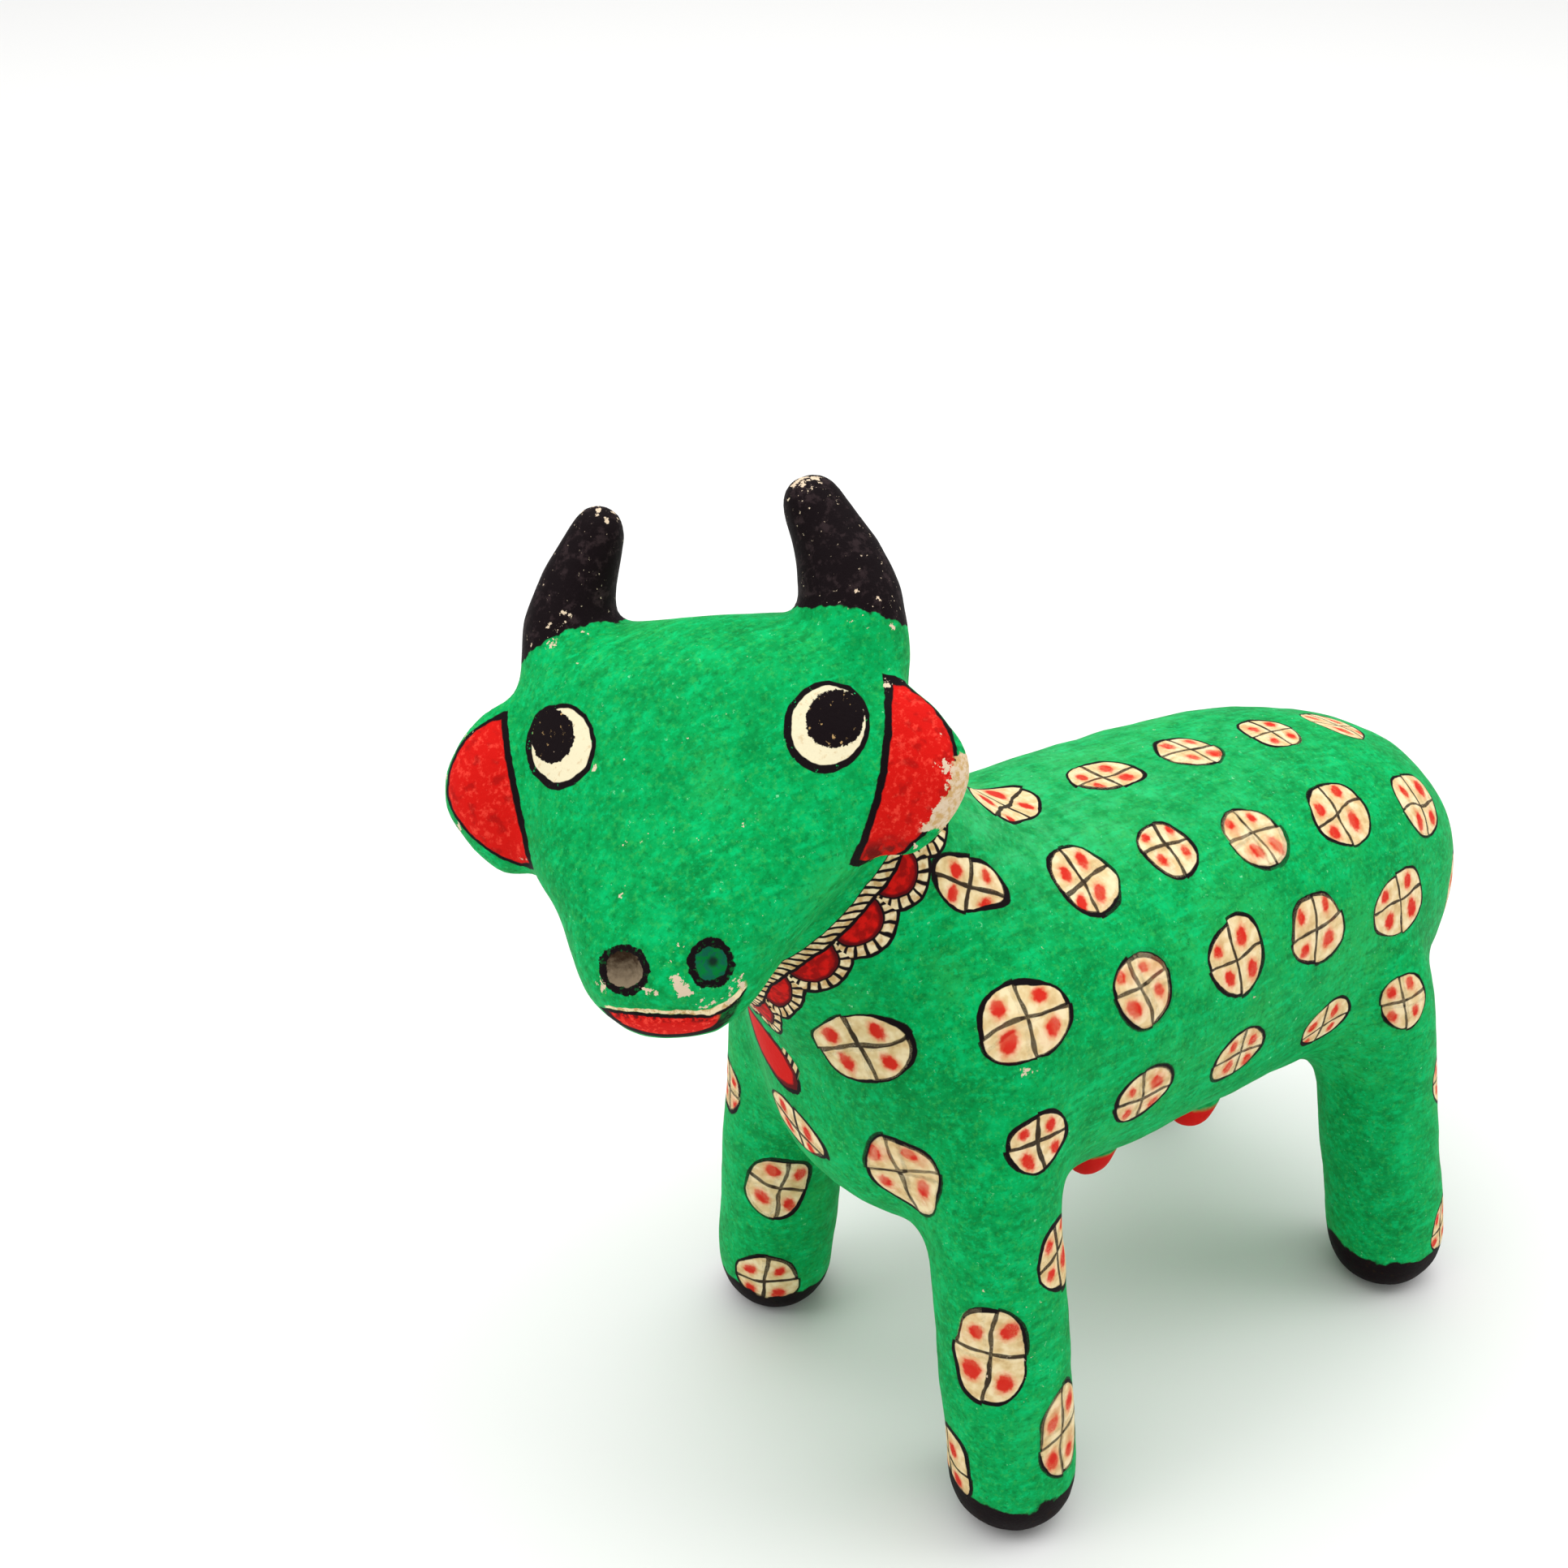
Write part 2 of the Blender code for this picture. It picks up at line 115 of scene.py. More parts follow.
# Lower edge of the horns' black, in mm on the face: how far up it starts, how far out it starts to
# sag, what the left horn adds to both, and the gap between the horns that stays green.
HORN_UP = 25.0
HORN_UP_LEFT = 0.4
HORN_OUT = 13.0
HORN_OUT_LEFT = 7.5
HORN_SAG = 0.025
HORN_GAP = 10.5
HORN_GAP_UP = 30.0

# Mouth and the lip line over it, in mm on the face.
MOUTH_MIDDLE = -3.5
MOUTH_HALF = (8.9, 3.9)
LIP_UP = -32.4
LIP_START = -8.0
LIP_SLOPE = -0.07
LIP_BEND = 3.0
LIP_CURL = 0.11
LIP_MIDDLE = -1.9
LIP_HALF = 10.6

# Leaf on the chest: middle (y, z), direction, half length and half width, where its paint starts and
# is full along x, in mm, and beads for each mm.
LEAF_AT = (-11.0, 82.4)
LEAF_WAY = (0.93, -0.37)
LEAF_HALF = (8.6, 4.1)
LEAF_AHEAD = (45.3, 46.3)
LEAF_BEADS = 0.6

# Height of the black hooves, and what the left ones add, in mm.
HOOF_HEIGHT = 7.4
HOOF_LEFT = 2.6

# Skin mesh and its lumps, in mm: (length of a lump, depth).
VOXEL = 0.986
EVEN_STEPS = 40
EVEN_IN = 0.50
EVEN_OUT = -0.53
LUMPS = ((13.0, 0.42), (5.5, 0.14), (2.4, 0.05))

# Trunk axis, in mm: the line that the flower rows are measured from.
TRUNK_REAR_X = -95.4
TRUNK_LENGTH = 152.5
TRUNK_REAR_Z = 78.5
TRUNK_RISE = 10.5

# Flowers on the barrel, row by row from the spine down: (x in mm, degrees up from the left side,
# half width, half height and, for some, a tilt in degrees).
ROW_SPINE = (
    (12.8, 93.5, 11.0, 6.2, -24), (-11.3, 93.6, 7.4, 5.4), (-31.7, 91.5, 6.3, 6.2), (-52.2, 88.5, 6.0, 6.4),
    (-71.5, 89.6, 5.8, 6.6),
)
ROW_SHOULDER = (
    (34.6, 66.5, 7.9, 4.8, 33), (12.8, 57.6, 6.5, 6.8), (-6.4, 56.9, 5.7, 6.4), (-25.3, 51.7, 6.6, 6.4),
    (-47.2, 49.1, 7.6, 6.4), (-71.3, 43.8, 7.8, 6.3),
)
ROW_SIDE = (
    (35.8, 27.3, 8.8, 6.9), (12.7, 24.6, 6.2, 6.7), (-9.2, 22.5, 7.3, 7.0), (-30.3, 20.6, 7.5, 6.4),
    (-54.7, 16.4, 8.6, 6.2), (-82.0, 2.0, 5.5, 6.8),
)
ROW_BELLY = (
    (36.9, -6.9, 6.4, 5.2), (13.3, -7.1, 6.7, 5.6), (-10.5, -8.5, 6.8, 5.2), (-35.8, -14.8, 6.4, 5.2),
    (-53.7, -12.6, 5.8, 5.7),
)
HIDDEN_SHOULDER = (
    (30, 140, 7.2, 6.4), (8, 139, 6.6, 6.4), (-15, 141, 6.4, 6.2), (-38, 140, 6.8, 6.0), (-60, 142, 6.8, 6.2),
)
HIDDEN_SIDE = (
    (37, 163, 7.4, 6.8), (17, 164, 6.6, 6.6), (-5, 165, 6.8, 6.8), (-28, 166, 7.0, 6.2),
    (-50, 166, 7.2, 6.2), (-76, 172, 6.2, 6.4),
)
HIDDEN_BELLY = ((31, 190, 6.8, 6.0), (9, 189, 6.6, 5.8), (-14, 191, 6.6, 5.4), (-36, 193, 6.2, 5.2))
ROWS = (ROW_SPINE, ROW_SHOULDER, ROW_SIDE, ROW_BELLY, HIDDEN_SHOULDER, HIDDEN_SIDE, HIDDEN_BELLY)

# Single flowers on the chest, legs and rump: (x, y, z, half width, half height in mm, tilt in degrees).
SINGLE_FLOWERS = (
    (55.4, 13.2, 96.6, 9.6, 6.6, 30), (51.7, 20.2, 73.3, 7.6, 8.4, 12), (55.7, -4.6, 69.8, 9.2, 4.8, 0),
    (47.0, 37.8, 43.7, 6.7, 11.0, 0), (33.2, 39.1, 59.6, 6.2, 7.4, 0), (34.1, 44.4, 24.1, 6.2, 10.0, 0),
    (47.3, 30.3, 13.7, 6.2, 8.4, 0), (45.5, -22.5, 37.5, 6.4, 8.4, -14), (45.5, -26.7, 11.5, 6.9, 7.2, 0),
    (47.3, -33.0, 58.0, 5.4, 6.2, 0), (-67.7, 40.0, 50.0, 4.8, 5.6, 0), (-69.7, 44.0, 15.0, 4.8, 6.2, 0),
    (-97.7, 4.0, 93.0, 6.6, 6.6, 0), (-95.7, -14.0, 72.0, 6.2, 6.6, 0), (-95.7, 14.0, 68.0, 6.2, 6.4, 0),
    (-77.7, -30.0, 45.0, 5.8, 7.2, 0), (-65.7, -47.0, 30.0, 5.6, 7.4, 0), (38.3, -46.0, 50.0, 6.2, 8.0, 0),
    (36.3, -46.0, 24.0, 6.0, 7.6, 0), (-79.7, 31.0, 32.0, 5.4, 6.8, 0),
)
# Width of their outlines at the rear and in front, where it starts to grow along x, and over what length.
FLOWER_LINE_REAR = 0.55
FLOWER_LINE_FRONT = 0.95
FLOWER_LINE_START = -90.0
FLOWER_LINE_RUN = 130.0

# Teats: x, y and height of the root of each in mm.
TEATS = ((-24.4, 15.0, 51.0), (2.6, 15.0, 53.5), (-24.4, -15.0, 51.0), (2.6, -15.0, 53.5))
TEAT_RADIUS = 7.0

# Worn places on the body: (x, y, z, radius, strength) in mm. On the face: (across, up, radius, strength).
WORN = (
    (37.9, 33.4, 95.7, 1.5, 0.95), (38.0, 33.9, 93.4, 1.1, 0.7), (44.3, -17.9, 181.0, 5.0, 0.75),
    (66.3, -40.0, 175.0, 5.0, 0.75), (45.3, -3.0, 164.0, 5.0, 0.55), (39.3, -12.0, 166.0, 5.0, 0.45),
    (78.3, -34.0, 159.0, 5.0, 0.5), (72.3, -28.0, 163.0, 4.0, 0.6), (43.3, 38.0, 52.0, 7.0, 0.28),
    (41.3, 40.0, 44.0, 4.0, 0.45), (49.3, 28.0, 60.0, 5.0, 0.25), (40.3, 40.0, 28.0, 5.0, 0.3),
)
WORN_FACE = (
    (-0.5, -25.0, 1.3, 0.85), (-0.9, -27.5, 1.6, 1.0), (0.9, -29.1, 1.3, 0.95), (0.3, -22.8, 1.0, 0.7),
    (7.4, -29.0, 1.6, 0.85), (3.2, -31.5, 1.7, 1.0), (-4.6, -29.3, 1.4, 0.95), (-12.4, -28.6, 1.1, 0.9),
    (-6.2, -21.8, 1.0, 0.6), (6.5, -31.2, 1.4, 0.8), (-39.8, 2.0, 2.0, 0.45), (-39.0, -6.0, 2.2, 0.5),
    (-36.0, 8.5, 2.0, 0.45), (-27.2, -11.0, 1.3, 0.8), (-13.0, 3.6, 1.2, 0.8), (30.2, 12.9, 1.4, 0.8),
    (28.0, -14.8, 2.2, 0.7), (37.5, 4.5, 1.6, 0.6), (38.0, 0.5, 2.6, 0.6), (33.0, -12.0, 2.0, 0.55),
    (31.5, 22.0, 2.4, 0.6), (-25.0, 21.5, 2.5, 0.35), (-8.0, 20.0, 8.0, 0.16), (10.0, 14.0, 7.0, 0.14),
    (-2.0, -8.0, 8.0, 0.15), (-10.0, 6.0, 6.0, 0.18), (-8.0, -14.0, 6.0, 0.18), (6.0, -6.0, 6.0, 0.14),
)

# Paint film: how much it shines, how rough it is, and its grain as a bump in metres.
SHEEN = 0.05
ROUGHNESS = 0.50
ROUGHNESS_SPREAD = 0.20
BUMP_STRENGTH = 0.35
BUMP_DEPTH = 0.0002

# Floor, and lights: name, place and aim in metres, size in metres, power in watts.
FLOOR_HALF = 4.0
FLOOR_COLOUR = (0.86, 0.86, 0.85, 1.0)
FLOOR_ROUGHNESS = 0.9
WORLD_STRENGTH = 0.62
COW_MIDDLE = (0.0, 0.0, 0.09)
LIGHTS = (
    ("overhead", (-0.2, -0.4, 2.2), (-0.2, -0.4, 0.0), 3.0, 42.0),
    ("front_left", (0.75, -0.25, 0.75), COW_MIDDLE, 0.5, 1.8),
    ("rear_left", (-0.75, 0.55, 0.95), COW_MIDDLE, 0.7, 3.0),
)


def srgb(red, green, blue):
    """A colour given as 0 to 255 values, for a node."""
    parts = []
    for value in (red, green, blue):
        value = value / 255.0
        parts.append(value / 12.92 if value <= 0.04045 else ((value + 0.055) / 1.055) ** 2.4)
    return (*parts, 1.0)


def make_camera():
    data = bpy.data.cameras.new("camera")
    data.lens = LENS_MM
    data.sensor_width = SENSOR_MM
    data.sensor_fit = "HORIZONTAL"
    data.clip_start = 0.01
    camera = bpy.data.objects.new("camera", data)
    camera.location = CAMERA_AT
    camera.rotation_euler = Vector(CAMERA_LOOK).to_track_quat("-Z", "Y").to_euler()
    bpy.context.scene.collection.objects.link(camera)
    bpy.context.scene.camera = camera


def evaluated_mesh(obj):
    graph = bpy.context.evaluated_depsgraph_get()
    return bpy.data.meshes.new_from_object(obj.evaluated_get(graph))


def skin_piece(node):
    """A fine, smooth copy of the CAD node's mesh, as a new object."""
    mesh = node.data.copy()
    work = bmesh.new()
    work.from_mesh(mesh)
    bmesh.ops.remove_doubles(work, verts=work.verts, dist=1e-6)
    work.to_mesh(mesh)
    work.free()
    piece = bpy.data.objects.new("cow_skin", mesh)
    bpy.context.scene.collection.objects.link(piece)
    remesh = piece.modifiers.new("remesh", "REMESH")
    remesh.mode = "VOXEL"
    remesh.voxel_size = VOXEL * MM
    fine = evaluated_mesh(piece)
    piece.modifiers.clear()
    piece.data = fine
    fine.materials.clear()
    fine.shade_smooth()
    return piece


def columns(what, name, width):
    """A property of all of a mesh's vertices, as rows of numbers."""
    values = np.empty(len(what) * width, dtype=np.float32)
    what.foreach_get(name, values)
    return values.reshape(-1, width).astype(float)


def even_out(mesh):
    """Rounds off the facets of the solid without thinning horns and ears. Nostrils and mouth stay sharp."""
    at = columns(mesh.vertices, "co", 3) / MM
    ends = np.empty(len(mesh.edges) * 2, dtype=np.int32)
    mesh.edges.foreach_get("vertices", ends)
    first, second = ends.reshape(-1, 2).T
    count = len(at)
    degree = np.bincount(first, minlength=count) + np.bincount(second, minlength=count)
    across, forward, up = ((at - HEAD_AT) @ head_axes()).T
    free = np.ones(count)
    for middle, half in NOSTRILS:
        away = np.hypot((across - middle[0]) / (half[0] + 1.0), (up - middle[1]) / (half[1] + 1.0))
        free = np.minimum(free, np.clip(away - 0.9, 0.0, 1.0))
    at_mouth = (np.abs(across + 2.0) < 12.0) & (np.abs(up + 32.6) < 3.0)
    free[at_mouth & (forward > 0.0)] = 0.0
    free[forward < 0.0] = 1.0
    for step in range(EVEN_STEPS):
        hold = np.ones(count) if step < 3 else free
        for factor in (EVEN_IN, EVEN_OUT):
            for axis in range(3):
                total = np.bincount(first, at[second, axis], count)
                total += np.bincount(second, at[first, axis], count)
                at[:, axis] += factor * hold * (total / degree - at[:, axis])
    mesh.vertices.foreach_set("co", (at * MM).astype(np.float32).ravel())
    mesh.update()


def add_lumps(mesh, low, high):
    """Pushes the skin in and out like hand-laid paper pulp, and keeps it inside the box of the solid."""
    at = columns(mesh.vertices, "co", 3)
    out = columns(mesh.vertices, "normal", 3)
    push = np.zeros(len(at))
    for index, (length, depth) in enumerate(LUMPS):
        shift = Vector((11.3 * index, 4.7, 7.9))
        push += [depth * MM * noise.noise(Vector(point) / (length * MM) + shift) for point in at]
    push *= np.clip(at[:, 2] / (4.0 * MM), 0.0, 1.0)
    at += out * push[:, None]
    at = np.clip(at, np.array(low), np.array(high))
    mesh.vertices.foreach_set("co", at.astype(np.float32).ravel())
    mesh.update()


class Canvas:
    """The skin as arrays in mm, and the coordinates that features are painted in."""

    def __init__(self, mesh):
        self.mesh = mesh
        self.at = columns(mesh.vertices, "co", 3) / MM
        self.out = columns(mesh.vertices, "normal", 3)
        self.corner_vertex = np.empty(len(mesh.loops), dtype=np.int32)
        mesh.loops.foreach_get("vertex_index", self.corner_vertex)
        starts = np.empty(len(mesh.polygons), dtype=np.int32)
        mesh.polygons.foreach_get("loop_start", starts)
        self.starts = starts
        ends = np.append(starts[1:], len(mesh.loops))
        self.corner_face = np.repeat(np.arange(len(starts)), ends - starts)
        polygons = [tuple(p.vertices) for p in mesh.polygons]
        self.tree = BVHTree.FromPolygons([Vector(p) for p in self.at], polygons)

    def write_cut(self, name, values, wanted, outside):
        """One value per corner. Faces that aren't wholly wanted get the outside value, so nothing bleeds."""
        whole = np.logical_and.reduceat(wanted[self.corner_vertex], self.starts)
        corners = values[self.corner_vertex]
        corners[~whole[self.corner_face]] = outside
        self.write(name, corners, "CORNER")

    def write(self, name, values, domain):
        layer = self.mesh.attributes.new(name, "FLOAT_VECTOR", domain)
        layer.data.foreach_set("vector", np.ascontiguousarray(values, dtype=np.float32).ravel())

    def out_near(self, point, reach=5.0):
        """The mean outward direction of the skin round a point."""
        near = np.linalg.norm(self.at - point, axis=1) < reach
        mean = self.out[near].mean(axis=0)
        return mean / np.linalg.norm(mean)


class Flowers:
    """Places flowers on the canvas. Each face belongs to the nearest flower."""

    FAR = 99.0

    def __init__(self, canvas):
        self.canvas = canvas
        count = len(canvas.corner_vertex)
        self.place = np.full((count, 3), self.FAR)
        self.size = np.ones((count, 3))
        self.best = np.full(len(canvas.starts), np.inf)
        self.made = 0

    def put(self, point, half_width, half_height, across=None, tilt=0.0):
        canvas = self.canvas
        point = np.array(point, dtype=float)
        out = canvas.out_near(point)
        guide = np.array((0.0, 0.0, 1.0)) if across is None else np.array(across, dtype=float)
        if across is None:
            up = guide - out * guide.dot(out)
            up /= np.linalg.norm(up)
            right = np.cross(up, out)
        else:
            right = guide - out * guide.dot(out)
            right /= np.linalg.norm(right)
            up = np.cross(right, out)
        turn = math.radians(tilt)
        right, up = right * math.cos(turn) + up * math.sin(turn), up * math.cos(turn) - right * math.sin(turn)
        away = canvas.at - point
        chord = np.linalg.norm(away, axis=1)
        flat_u = away @ right
        flat_v = away @ up
        flat = np.maximum(np.hypot(flat_u, flat_v), 1e-6)
        u = flat_u / flat * chord
        v = flat_v / flat * chord
        reach = 1.5 * max(half_width, half_height)
        usable = (chord < reach) & (canvas.out @ out > -0.35)
        face_ok = np.logical_and.reduceat(usable[canvas.corner_vertex], canvas.starts)
        face_distance = np.maximum.reduceat((chord / reach)[canvas.corner_vertex], canvas.starts)
        face_ok &= face_distance < self.best
        self.best[face_ok] = face_distance[face_ok]
        corners = face_ok[canvas.corner_face]
        vertices = canvas.corner_vertex[corners]
        seed = (self.made * 0.6180339) % 1.0
        forward = np.clip((point[0] - FLOWER_LINE_START) / FLOWER_LINE_RUN, 0, 1)
        line = FLOWER_LINE_REAR + (FLOWER_LINE_FRONT - FLOWER_LINE_REAR) * forward
        self.place[corners] = np.stack((u[vertices], v[vertices], np.full(len(vertices), seed)), axis=1)
        self.size[corners] = (half_width, half_height, line)
        self.made += 1

    def on_barrel(self, x, angle, half_width, half_height, tilt=0.0):
        part = (x - TRUNK_REAR_X) / TRUNK_LENGTH
        start = Vector((x, 0.0, TRUNK_REAR_Z + TRUNK_RISE * part))
        turn = math.radians(angle)
        hit = self.canvas.tree.ray_cast(start, Vector((0.0, math.cos(turn), math.sin(turn))))[0]
        if hit is not None:
            self.put(hit, half_width, half_height, (1.0, 0.0, 0.0), tilt)

    def finish(self):
        self.canvas.write("flower", self.place, "CORNER")
        self.canvas.write("flower_size", self.size, "CORNER")


def place_flowers(canvas):
    """Puts the barrel's rows on first, then the single flowers."""
    flowers = Flowers(canvas)
    for row in ROWS:
        for flower in row:
            flowers.on_barrel(*flower)
    for x, y, z, half_width, half_height, tilt in SINGLE_FLOWERS:
        near = canvas.tree.find_nearest(Vector((x, y, z)))[0]
        flowers.put(near, half_width, half_height, None, tilt)
    flowers.finish()


def head_axes():
    """The head's own directions as columns: across the face, forward, and up the face."""
    turn = Matrix.Rotation(math.radians(HEAD_YAW - 90.0), 3, "Z")
    turn = turn @ Matrix.Rotation(math.radians(HEAD_PITCH), 3, "X")
    turn = turn @ Matrix.Rotation(math.radians(HEAD_ROLL), 3, "Y")
    return np.array(turn @ Matrix.Diagonal((-1.0, 1.0, 1.0)))


def face_coordinates(canvas):
    """Writes the head's own coordinates: across the face, up the face, and how far the skin faces forward."""
    axes = head_axes()
    local = (canvas.at - HEAD_AT) @ axes
    front = canvas.out @ axes[:, 1]
    off_head = (local[:, 1] < -13.0) & (local[:, 2] < 18.0) | (local[:, 2] < -42.0)
    off_head |= canvas.at[:, 0] < 20.0
    values = np.stack((local[:, 0], local[:, 2], front), axis=1)
    canvas.write_cut("face", values, ~off_head, (0.0, -60.0, -1.0))
    return local


def spot_values(canvas, head_local):
    """Writes where the teats are and how worn the paint is."""
    x, y, z = canvas.at.T
    teat = np.zeros(len(canvas.at))
    for teat_x, teat_y, top in TEATS:
        away = np.hypot(x - teat_x, y - teat_y)
        below = np.clip((top - z) * 1.5, 0.0, 1.0)
        teat = np.maximum(teat, np.clip((TEAT_RADIUS - away) * 1.5, 0.0, 1.0) * below)
    worn = np.zeros(len(canvas.at))
    for worn_x, worn_y, worn_z, radius, strength in WORN:
        away = np.linalg.norm(canvas.at - np.array((worn_x, worn_y, worn_z)), axis=1)
        worn = np.maximum(worn, strength * np.exp(-((away / radius) ** 2)))
    across, forward, up = head_local.T
    for spot_across, spot_up, radius, strength in WORN_FACE:
        away = np.hypot(across - spot_across, up - spot_up)
        worn = np.maximum(worn, strength * np.exp(-((away / radius) ** 2)) * (forward > -12.0))
    canvas.write("spots", np.stack((teat, worn, np.zeros(len(teat))), axis=1), "POINT")


def collar_coordinates(canvas, head_local):
    """Writes coordinates round the neck: two across its axis, and the height along the axis from the rope."""
    axis = np.array(NECK_AXIS)
    axis /= np.linalg.norm(axis)
    side = np.array((0.0, 1.0, 0.0))
    side -= axis * side.dot(axis)
    side /= np.linalg.norm(side)
    front = np.cross(side, axis)
    away = canvas.at - np.array(NECK_BASE)
    across = away @ side
    ahead = away @ front
    turn = np.arctan2(across, ahead) / (2.0 * math.pi)
    height = away @ axis - ROPE_AT + ROPE_DIP * np.exp(-((turn / ROPE_DIP_TURN) ** 2))
    off_neck = (head_local[:, 1] > -11.5) | (np.hypot(across, ahead) > 34.0) | (np.abs(height) > 14.0)
    canvas.write_cut("collar", np.stack((ahead, across, height), axis=1), ~off_neck, (1.0, 0.0, 99.0))


class Paint:
    """Short calls that add nodes to one material and give back their output sockets."""

    def __init__(self, tree):
        self.tree = tree

    def node(self, kind, values=(), **settings):
        node = self.tree.nodes.new(kind)
        for name, value in settings.items():
            setattr(node, name, value)
        for index, value in enumerate(values):
            self.feed(node.inputs[index], value)
        return node

    def feed(self, socket, value):
        if isinstance(value, bpy.types.NodeSocket):
            self.tree.links.new(value, socket)
        elif value is not None:
            socket.default_value = value

    def math(self, operation, *values):
        return self.node("ShaderNodeMath", values, operation=operation).outputs[0]

    def add(self, a, b):
        return self.math("ADD", a, b)

    def take(self, a, b):
        return self.math("SUBTRACT", a, b)

    def times(self, a, b):
        return self.math("MULTIPLY", a, b)

    def over(self, a, b):
        return self.math("DIVIDE", a, b)

    def most(self, a, b):
        return self.math("MAXIMUM", a, b)

    def least(self, a, b):
        return self.math("MINIMUM", a, b)

    def length(self, x, y):
        return self.math("SQRT", self.add(self.times(x, x), self.times(y, y)))

    def inside(self, value, edge, soft=0.08):
        """1 where value is below edge, 0 above it."""
        node = self.node("ShaderNodeMapRange", interpolation_type="SMOOTHSTEP")
        self.feed(node.inputs[0], self.take(value, edge))
        for index, number in enumerate((-soft, soft, 1.0, 0.0)):
            node.inputs[index + 1].default_value = number
        return node.outputs[0]

    def ramp(self, value, start, end):
        """0 at start, 1 at end, smooth between."""
        node = self.node("ShaderNodeMapRange", interpolation_type="SMOOTHSTEP")
        self.feed(node.inputs[0], value)
        for index, number in enumerate((start, end, 0.0, 1.0)):
            node.inputs[index + 1].default_value = number
        return node.outputs[0]

    def join(self, x, y, z):
        return self.node("ShaderNodeCombineXYZ", (x, y, z)).outputs[0]

    def split(self, vector):
        return self.node("ShaderNodeSeparateXYZ", (vector,)).outputs

    def attribute(self, name):
        return self.split(self.node("ShaderNodeAttribute", attribute_name=name).outputs["Vector"])

    def noise(self, at, scale, detail=2.0, rough=0.5):
        node = self.node("ShaderNodeTexNoise")
        self.feed(node.inputs["Vector"], at)
        node.inputs["Scale"].default_value = scale
        node.inputs["Detail"].default_value = detail
        node.inputs["Roughness"].default_value = rough
        return node.outputs["Fac"], self.split(node.outputs["Color"])

    def mix(self, amount, below, above):
        node = self.node("ShaderNodeMix", data_type="RGBA")
        self.feed(node.inputs[0], amount)
        self.feed(node.inputs[6], below)
        self.feed(node.inputs[7], above)
        return node.outputs[2]


BLACK = srgb(20, 12, 15)
LINE_BROWN = srgb(50, 30, 16)
LINE_DARK = srgb(30, 18, 14)
HORN_SHEEN_GREY = srgb(64, 50, 52)
CREAM = srgb(230, 203, 150)
CREAM_LIGHT = srgb(246, 226, 182)
CREAM_DARK = srgb(206, 168, 112)
RED = srgb(214, 22, 16)
RED_LIGHT = srgb(244, 66, 52)
RED_DARK = srgb(160, 14, 12)
PULP = srgb(134, 118, 96)
EYE_CREAM = srgb(238, 228, 192)
PIT_SHADOW_BROWN = srgb(50, 34, 20)
HOLLOW_SHADE_GREEN = srgb(14, 96, 72)
MAROON = srgb(98, 10, 16)
GLINT_BLUE_GREY = srgb(92, 96, 118)
HALO = srgb(234, 120, 74)
GREEN = srgb(0, 164, 82)
GREEN_DARK = srgb(0, 116, 50)
GREEN_LIGHT = srgb(0, 202, 116)
GREEN_YELLOW = srgb(62, 186, 84)
SHEEN_PALE_GREEN = srgb(112, 220, 152)
MINT = srgb(136, 226, 168)
CHIP = srgb(226, 204, 176)


def stretched(p, at, along, scale):
    """Noise drawn out along one direction, like the hairs of a brush."""
    squeezed = p.node("ShaderNodeMapping", (at,), vector_type="POINT")
    squeezed.inputs["Rotation"].default_value = along
    squeezed.inputs["Scale"].default_value = (0.18, 1.0, 1.0)
    return p.noise(squeezed.outputs[0], scale, 3.0, 0.6)[0]


def paint_ground(p, at):
    """Green poster paint with broad changes of tone, brush marks, grain, small pale flecks, and a painted
    sheen that makes the back's top paler.
    """
    x, _, z = p.split(at)
    broad, tints = p.noise(at, 0.05, 2.0)
    cloud = p.noise(at, 0.22, 3.0, 0.62)[0]
    fine, hues = p.noise(at, 1.0, 3.0, 0.7)
    level = stretched(p, at, (0.0, 0.5, 0.3), 0.7)
    steep = stretched(p, at, (0.3, 1.2, 0.9), 0.7)
    turn = p.ramp(tints[1], 0.42, 0.58)
    hairs = p.add(p.times(level, turn), p.times(steep, p.take(1.0, turn)))
    colour = p.mix(p.times(p.ramp(cloud, 0.50, 0.33), 0.40), GREEN, GREEN_DARK)
    colour = p.mix(p.times(p.ramp(broad, 0.50, 0.30), 0.35), colour, GREEN_DARK)
    colour = p.mix(p.times(p.ramp(cloud, 0.50, 0.70), 0.50), colour, GREEN_LIGHT)
    colour = p.mix(p.times(p.ramp(tints[0], 0.54, 0.70), 0.20), colour, GREEN_YELLOW)
    colour = p.mix(p.times(p.ramp(hairs, 0.52, 0.70), 0.60), colour, GREEN_LIGHT)
    colour = p.mix(p.times(p.ramp(hairs, 0.48, 0.30), 0.55), colour, GREEN_DARK)
    colour = p.mix(p.times(p.ramp(fine, 0.53, 0.70), 0.60), colour, GREEN_LIGHT)
    colour = p.mix(p.times(p.ramp(hues[1], 0.50, 0.70), 0.40), colour, GREEN_YELLOW)
    colour = p.mix(p.times(p.ramp(fine, 0.47, 0.30), 0.60), colour, GREEN_DARK)
    # Painted sheen: the top of the back, behind the shoulders, is mixed towards a paler green.
    top = p.times(p.ramp(z, 108.0, 134.0), p.inside(x, 28.0, 14.0))
    colour = p.mix(p.times(top, p.add(0.12, p.times(p.ramp(cloud, 0.35, 0.62), 0.40))), colour, SHEEN_PALE_GREEN)
    specks = p.noise(at, 0.85, 4.0, 0.78)[0]
    specks = p.times(p.ramp(specks, 0.645, 0.70), p.ramp(cloud, 0.40, 0.54))
    return p.mix(p.times(specks, 0.75), colour, MINT)


